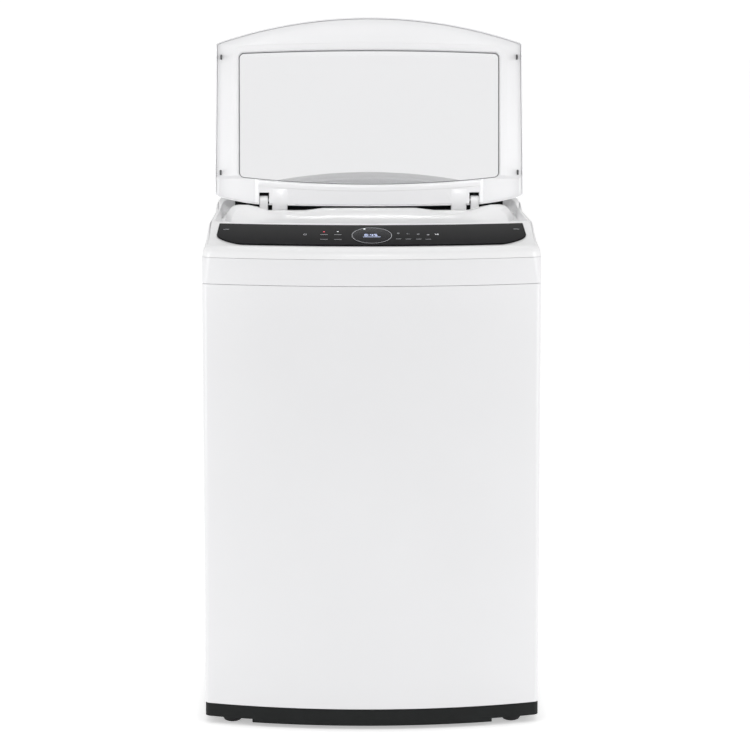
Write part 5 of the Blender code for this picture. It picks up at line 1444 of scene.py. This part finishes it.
def make_bracket():
    """The steel suspension bracket: a flat ring and four channel-shaped arms with lightening holes."""
    low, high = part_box("tub_bracket")
    arm_z, top = low.z, high.z
    ring = [(0.0455, arm_z), (0.125, arm_z), (0.125, top), (0.1215, top), (0.1215, arm_z + 0.003),
            (0.049, arm_z + 0.003), (0.049, top), (0.0455, top)]
    bracket = make_object("bracket", lathe(ring, 96, 0.0006))
    hole = rod(0.007, arm_z - 0.01, arm_z + 0.006, 28)
    combine(bracket, copies(hole, [turn @ at(0.086, 0.0, 0.0) for turn in around(12, 0.5)]))
    sheet = 0.0022
    for spot in rod_spots():
        reach = math.hypot(spot.x, spot.y)
        far = reach + 0.02
        outline = [(0.118, -0.026), (far - 0.008, -0.0178), (far, -0.01), (far, 0.01), (far - 0.008, 0.0178),
                   (0.118, 0.026)]
        arm = make_object("arm", prism(outline, arm_z, arm_z + sheet, 0.0006))
        for side in (-1, 1):
            edge = [(0.118, side * 0.026), (far - 0.008, side * 0.0178), (far - 0.008, side * 0.0156),
                    (0.118, side * 0.0238)]
            combine(arm, prism(edge if side > 0 else edge[::-1], arm_z + 0.0002, arm_z + 0.004, 0.0003),
                    "UNION")
        cuts = [moved(rod(0.008, arm_z - 0.01, arm_z + 0.02, 32), at(x, 0.0, 0.0)) for x in (0.15, 0.185,
            0.22, 0.255)]
        cuts.append(moved(rod(0.0062, arm_z - 0.01, arm_z + 0.02, 32), at(reach, 0.0, 0.0)))
        combine(arm, joined(*cuts))
        combine(bracket, moved(taken(arm), turned(math.atan2(spot.y, spot.x))), "UNION")
    bolts = copies(lathe(mm((0, 0), (7.5, 0), (7.5, -1.2), (5.2, -1.4), (5, -5), (0, -5.2)), 6, 0.0003),
                   [turn @ at(0.104, 0.0, arm_z - 0.0002) for turn in around(6)])
    settle(bracket, "tub", "zinc_steel", "tub_bracket")
    piece("bracket_bolts", bolts, "tub", "shaft_steel")


def make_drive():
    """The motor: a rotor cup with slots and magnets, wound stator teeth, the housing and the shaft."""
    low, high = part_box("motor_rotor")
    hole = 0.0084
    cup = [(hole, low.z), (0.023, low.z), (0.023, low.z + 0.006), (0.052, low.z + 0.006),
           (0.056, low.z + 0.005),
           (0.108, low.z + 0.005), (0.112, low.z + 0.006), (0.118, low.z + 0.012), (0.118, high.z - 0.002),
           (0.1165, high.z), (0.115, high.z), (0.115, low.z + 0.013), (0.11, low.z + 0.0085),
           (0.023, low.z + 0.0085), (hole, low.z + 0.0085)]
    rotor = make_object("rotor_cup", lathe(cup, 144, 0.0006))
    slot = mm((62, -4), (98, -7.5), (102, 0), (98, 7.5), (62, 4), (59, 0))
    slots = []
    for i, turn in enumerate(around(12, 0.5)):
        slots.append(moved(prism(slot, low.z, low.z + 0.02), turn))
        if i % 2:
            slots.append(moved(rod(0.0045, low.z, low.z + 0.02, 24), turn @ at(0.04, 0.0, 0.0)))
    combine(rotor, joined(*slots))
    settle(rotor, "pulsator", "zinc_steel", "motor_rotor")
    magnet = block((0.109, -0.012, 0.15), (0.1148, 0.012, high.z - 0.003), 0.0012)
    piece("rotor_magnets", copies(magnet, around(24)), "pulsator",
          "zinc_steel", finish="base_black")
    low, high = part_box("motor_stator")
    teeth, middle = around(18), (low.z + high.z) / 2
    core = [(0.0365, low.z + 0.005), (0.06, low.z + 0.005), (0.06, high.z - 0.005), (0.0365, high.z - 0.005)]
    tooth = joined(block((0.059, -0.004, low.z + 0.006), (0.099, 0.004, high.z - 0.006), 0.0004),
                   block((0.097, -0.0125, low.z + 0.005), (0.104, 0.0125, high.z - 0.005), 0.001))
    piece("stator_core", joined(lathe(core, 96, 0.0006), copies(tooth, teeth)), "tub", "zinc_steel",
          "motor_stator")
    loops = []
    for j in range(12):
        r, half = 0.0625 + 0.0028 * j, 0.0054 + 0.0002 * j
        deep = (high.z - low.z) / 2 - 0.0022
        corner = [Vector((r, a, middle + b)) for a, b in ((-half, -deep), (half, -deep), (half, deep),
            (-half, deep))]
        path = rounded(corner, (0.003,) * 4, 4, closed=True)
        loops.append(closed_tube(path, 0.00135, 8))
    piece("stator_windings", copies(joined(*loops), teeth), "tub", "copper_coil")
    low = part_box("bearing_housing")[0]
    housing = [(0.0263, low.z), (0.0345, low.z), (0.036, low.z + 0.0015), (0.036, 0.18), (0.069, 0.1828),
               (0.07, 0.1838), (0.07, 0.1889), (0.0446, 0.1889), (0.0446, 0.2046), (0.0263, 0.2046)]
    piece("housing", lathe(housing, 96, 0.0007), "tub", "aluminium", "bearing_housing")
    shaft = mm((0, 124), (11.8, 124), (13, 125.2), (13, 133), (8, 133), (8, 264), (0, 264))
    drive = make_object("drive_shaft", lathe(shaft, 48, 0.0004))
    combine(drive, prism(circle(0.0055, 6), 0.12, 0.1272))
    settle(drive, "pulsator", "shaft_steel", "pulsator_shaft")


def closed_tube(path, radius, sides):
    """A tube along a closed line."""
    rings = []
    middle = sum(path, Vector()) / len(path)
    normal = (path[1] - path[0]).cross(path[len(path) // 2] - path[0]).normalized()
    for p in path:
        out = (p - middle).normalized()
        rings.append([p + out * x + normal * y for x, y in circle(radius, sides)])
    return skin(rings, closed=True)


HOSE_ROUTE = ((-0.18, 0.061, 0.152), (-0.18, 0.101, 0.1515), (-0.188, 0.16, 0.143), (-0.19, 0.215, 0.148),
              (-0.185, 0.255, 0.185), (-0.185, 0.266, 0.25), (-0.185, 0.266, 0.45), (-0.185, 0.26, 0.63),
              (-0.185, 0.265, 0.676), (-0.185, 0.279, 0.69), (-0.185, 0.2925, 0.69))


def make_pump():
    """The drain pump with its motor, and the corrugated hose up to the stub in the rear sheet."""
    x = HOSE_ROUTE[0][0]
    body = mm((0, 135), (31, 135), (33, 135.8), (35, 138), (35, 150), (36.2, 150.6), (36.2, 153),
              (35, 153.6), (35, 172), (30, 176), (18, 178), (18, 199), (0, 199))
    pump = make_object("pump_body", lathe(body, 72, 0.0007))
    combine(pump, moved(lathe(mm((0, 20), (10, 20), (10, 54), (10.7, 56), (10, 58), (9, 60), (0, 60)), 48,
                              0.0004),
                        at(0.0, 0.0, 0.152) @ turned(-math.pi / 2, "X")), "UNION")
    for turn in around(6, 0.25):
        combine(pump, moved(block((0.006, -0.0008, 0.1338), (0.03, 0.0008, 0.136), 0.0003), turn), "UNION")
    settle(pump, "tub", "tub_grey", "drain_pump", at(x, 0.0, 0.0))
    motor = lathe(mm((0, 36), (19, 36), (19, 46), (18, 46.4), (18, 47.6), (19, 48), (19, 58.5), (17.8, 60),
                     (6, 60), (5, 58), (0, 58)), 60, 0.0004)
    piece("pump_motor", moved(motor, turned(math.pi / 2, "X")), "tub", "base_black",
          turn=at(x, 0.0, 0.1555))
    knots = [Vector(p) for p in HOSE_ROUTE]
    knots = [2 * knots[0] - knots[1], *knots, 2 * knots[-1] - knots[-2]]
    dense = []
    for four in zip(knots, knots[1:], knots[2:], knots[3:]):
        dense += [curve_point(*four, t / 24) for t in range(24)]
    dense.append(knots[-2])
    step, path, travelled = 0.0013, [dense[0]], 0.0
    for before, after in zip(dense, dense[1:]):
        span = (after - before).length
        while travelled + span >= step:
            before = before.lerp(after, (step - travelled) / span)
            path.append(before.copy())
            span, travelled = (after - before).length, 0.0
        travelled += span
    count = len(path)

    def ripple(i):
        inside = smooth((i - 14) / 4) * smooth((count - 16 - i) / 4)
        return 0.01 + 0.001 * inside * math.cos(2 * math.pi * i / 4)

    hose = make_object("drain_tube", tube(path, ripple, 24), 70.0)
    hose.data.materials.append(FINISH["hose_grey"])
    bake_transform(hose)
    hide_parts("drain_hose")


def make_hub():
    """The cast hub under the drum's floor, with six ribs, and the clutch ring with its splined edge."""
    low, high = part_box("drum_hub")
    bore = 0.0129
    profile = [(bore, low.z), (0.0292, low.z), (0.0304, low.z + 0.001), (0.034, 0.219), (0.099, 0.2239),
               (0.1, 0.2248), (0.1, high.z), (bore, high.z)]
    rib = block((0.033, -0.0022, 0.214), (0.095, 0.0022, 0.2238), 0.001)
    piece("hub", joined(lathe(profile, 96, 0.0005), copies(rib, around(6))), "drum", "aluminium",
          "drum_hub")
    ring = [(bore, 0.1446), (0.0234, 0.1446), (0.024, 0.1452), (0.024, 0.148), (0.0205, 0.15), (bore, 0.15)]
    clutch = make_object("clutch_ring", lathe(ring, 96, 0.0002))
    notch = block((0.0226, -0.0012, 0.144), (0.026, 0.0012, 0.149), 0.0002)
    combine(clutch, copies(notch, around(24)))
    settle(clutch, "clutch", "shaft_steel", "clutch_coupler")


# ---------------------------------------------------------------- stage


FLOOR_Z = -0.0002
FLOOR_GLOW = 0.44
WORLD_LIGHT, WORLD_SEEN = 0.64, 1.06  # the surround's strength as a light, and as what the camera sees
CAMERA_PLACE = (-0.06, -5.2, 1.27)
CAMERA_DOWN, CAMERA_SWING, CAMERA_LENS = 7.479, -0.757, 137.48
LIGHTS = (  # name, place, aim, size, power, spread
    ("left_strip", (-3.4, -1.35, 1.3), (0.0, 0.0, 0.6), (0.8, 2.6), 32.0, 180.0),
    ("right_strip", (3.4, -1.35, 1.3), (0.0, 0.0, 0.6), (0.8, 2.6), 32.0, 180.0),
    ("top", (0.0, 0.2, 3.4), (0.0, 0.0, 0.6), (2.0, 2.0), 13.0, 180.0),
    ("upper_front", (0.0, -1.5, 1.6), (0.0, 0.14, 0.89), (1.2, 0.3), 0.36, 21.0),
)


def placed(name, data, location, rotation):
    made = bpy.data.objects.new(name, data)
    made.location, made.rotation_euler = location, rotation
    bpy.context.scene.collection.objects.link(made)
    return made


def make_floor():
    """A plain pale floor that fades into the surround."""
    floor = make_object("floor", skin([level(circle(60.0, 64), z) for z in (FLOOR_Z - 0.02, FLOOR_Z)]))
    pale = coating("pale floor", (0.9, 0.9, 0.9), 0.6, grain=60.0, tone=0.006, patch=1.5, specular=0.2)
    glow = pale.node_tree.nodes["Principled BSDF"].inputs
    glow["Emission Color"].default_value = (1.0, 1.0, 1.0, 1.0)
    glow["Emission Strength"].default_value = FLOOR_GLOW
    floor.data.materials.append(pale)


def make_world():
    """An even white surround, brighter where the camera sees it, straight on or through the pane."""
    world = bpy.data.worlds.new("surround")
    world.use_nodes = True
    tree = world.node_tree
    tree.nodes["Background"].inputs["Color"].default_value = (1.0, 1.0, 1.0, 1.0)
    path = tree.nodes.new("ShaderNodeLightPath")
    seen = tree.nodes.new("ShaderNodeMath")
    seen.operation = "MAXIMUM"
    tree.links.new(path.outputs["Is Camera Ray"], seen.inputs[0])
    tree.links.new(path.outputs["Is Transmission Ray"], seen.inputs[1])
    strength = tree.nodes.new("ShaderNodeMapRange")
    strength.inputs["To Min"].default_value, strength.inputs["To Max"].default_value = WORLD_LIGHT, WORLD_SEEN
    tree.links.new(seen.outputs[0], strength.inputs["Value"])
    tree.links.new(strength.outputs["Result"], tree.nodes["Background"].inputs["Strength"])
    bpy.context.scene.world = world
    bpy.context.scene.view_settings.view_transform = "Standard"


def make_lights():
    for name, place, aim, size, power, spread in LIGHTS:
        light = bpy.data.lights.new(name, "AREA")
        light.shape, light.size, light.size_y = "RECTANGLE", size[0], size[1]
        light.energy, light.spread = power, math.radians(spread)
        towards = (Vector(aim) - Vector(place)).to_track_quat("-Z", "Y").to_euler()
        placed(name, light, place, towards).visible_camera = False


def make_camera():
    camera = bpy.data.cameras.new("camera")
    camera.lens, camera.sensor_width = CAMERA_LENS, 36.0
    camera.clip_start, camera.clip_end = 0.1, 200.0
    turn = (math.radians(90.0 - CAMERA_DOWN), 0.0, math.radians(CAMERA_SWING))
    bpy.context.scene.camera = placed("camera", camera, CAMERA_PLACE, turn)


for step in (finish_frame, make_cabinet, make_collar, make_top_cover, make_painted_shadow_gutter, make_fascia,
             make_marks,
             make_lid, make_hinge_posts, make_base, make_feet, make_drum, make_balance_ring, make_tub_ring,
             make_pulsator, make_filters, make_rear_panel, make_inlets, make_rear_fittings, make_drawer,
             make_lid_lock,
             make_control_board, make_suspension, make_outer_tub, make_bracket, make_drive, make_hub,
             make_pump,
             make_floor, make_world, make_lights, make_camera):
    step()
bpy.context.view_layer.update()
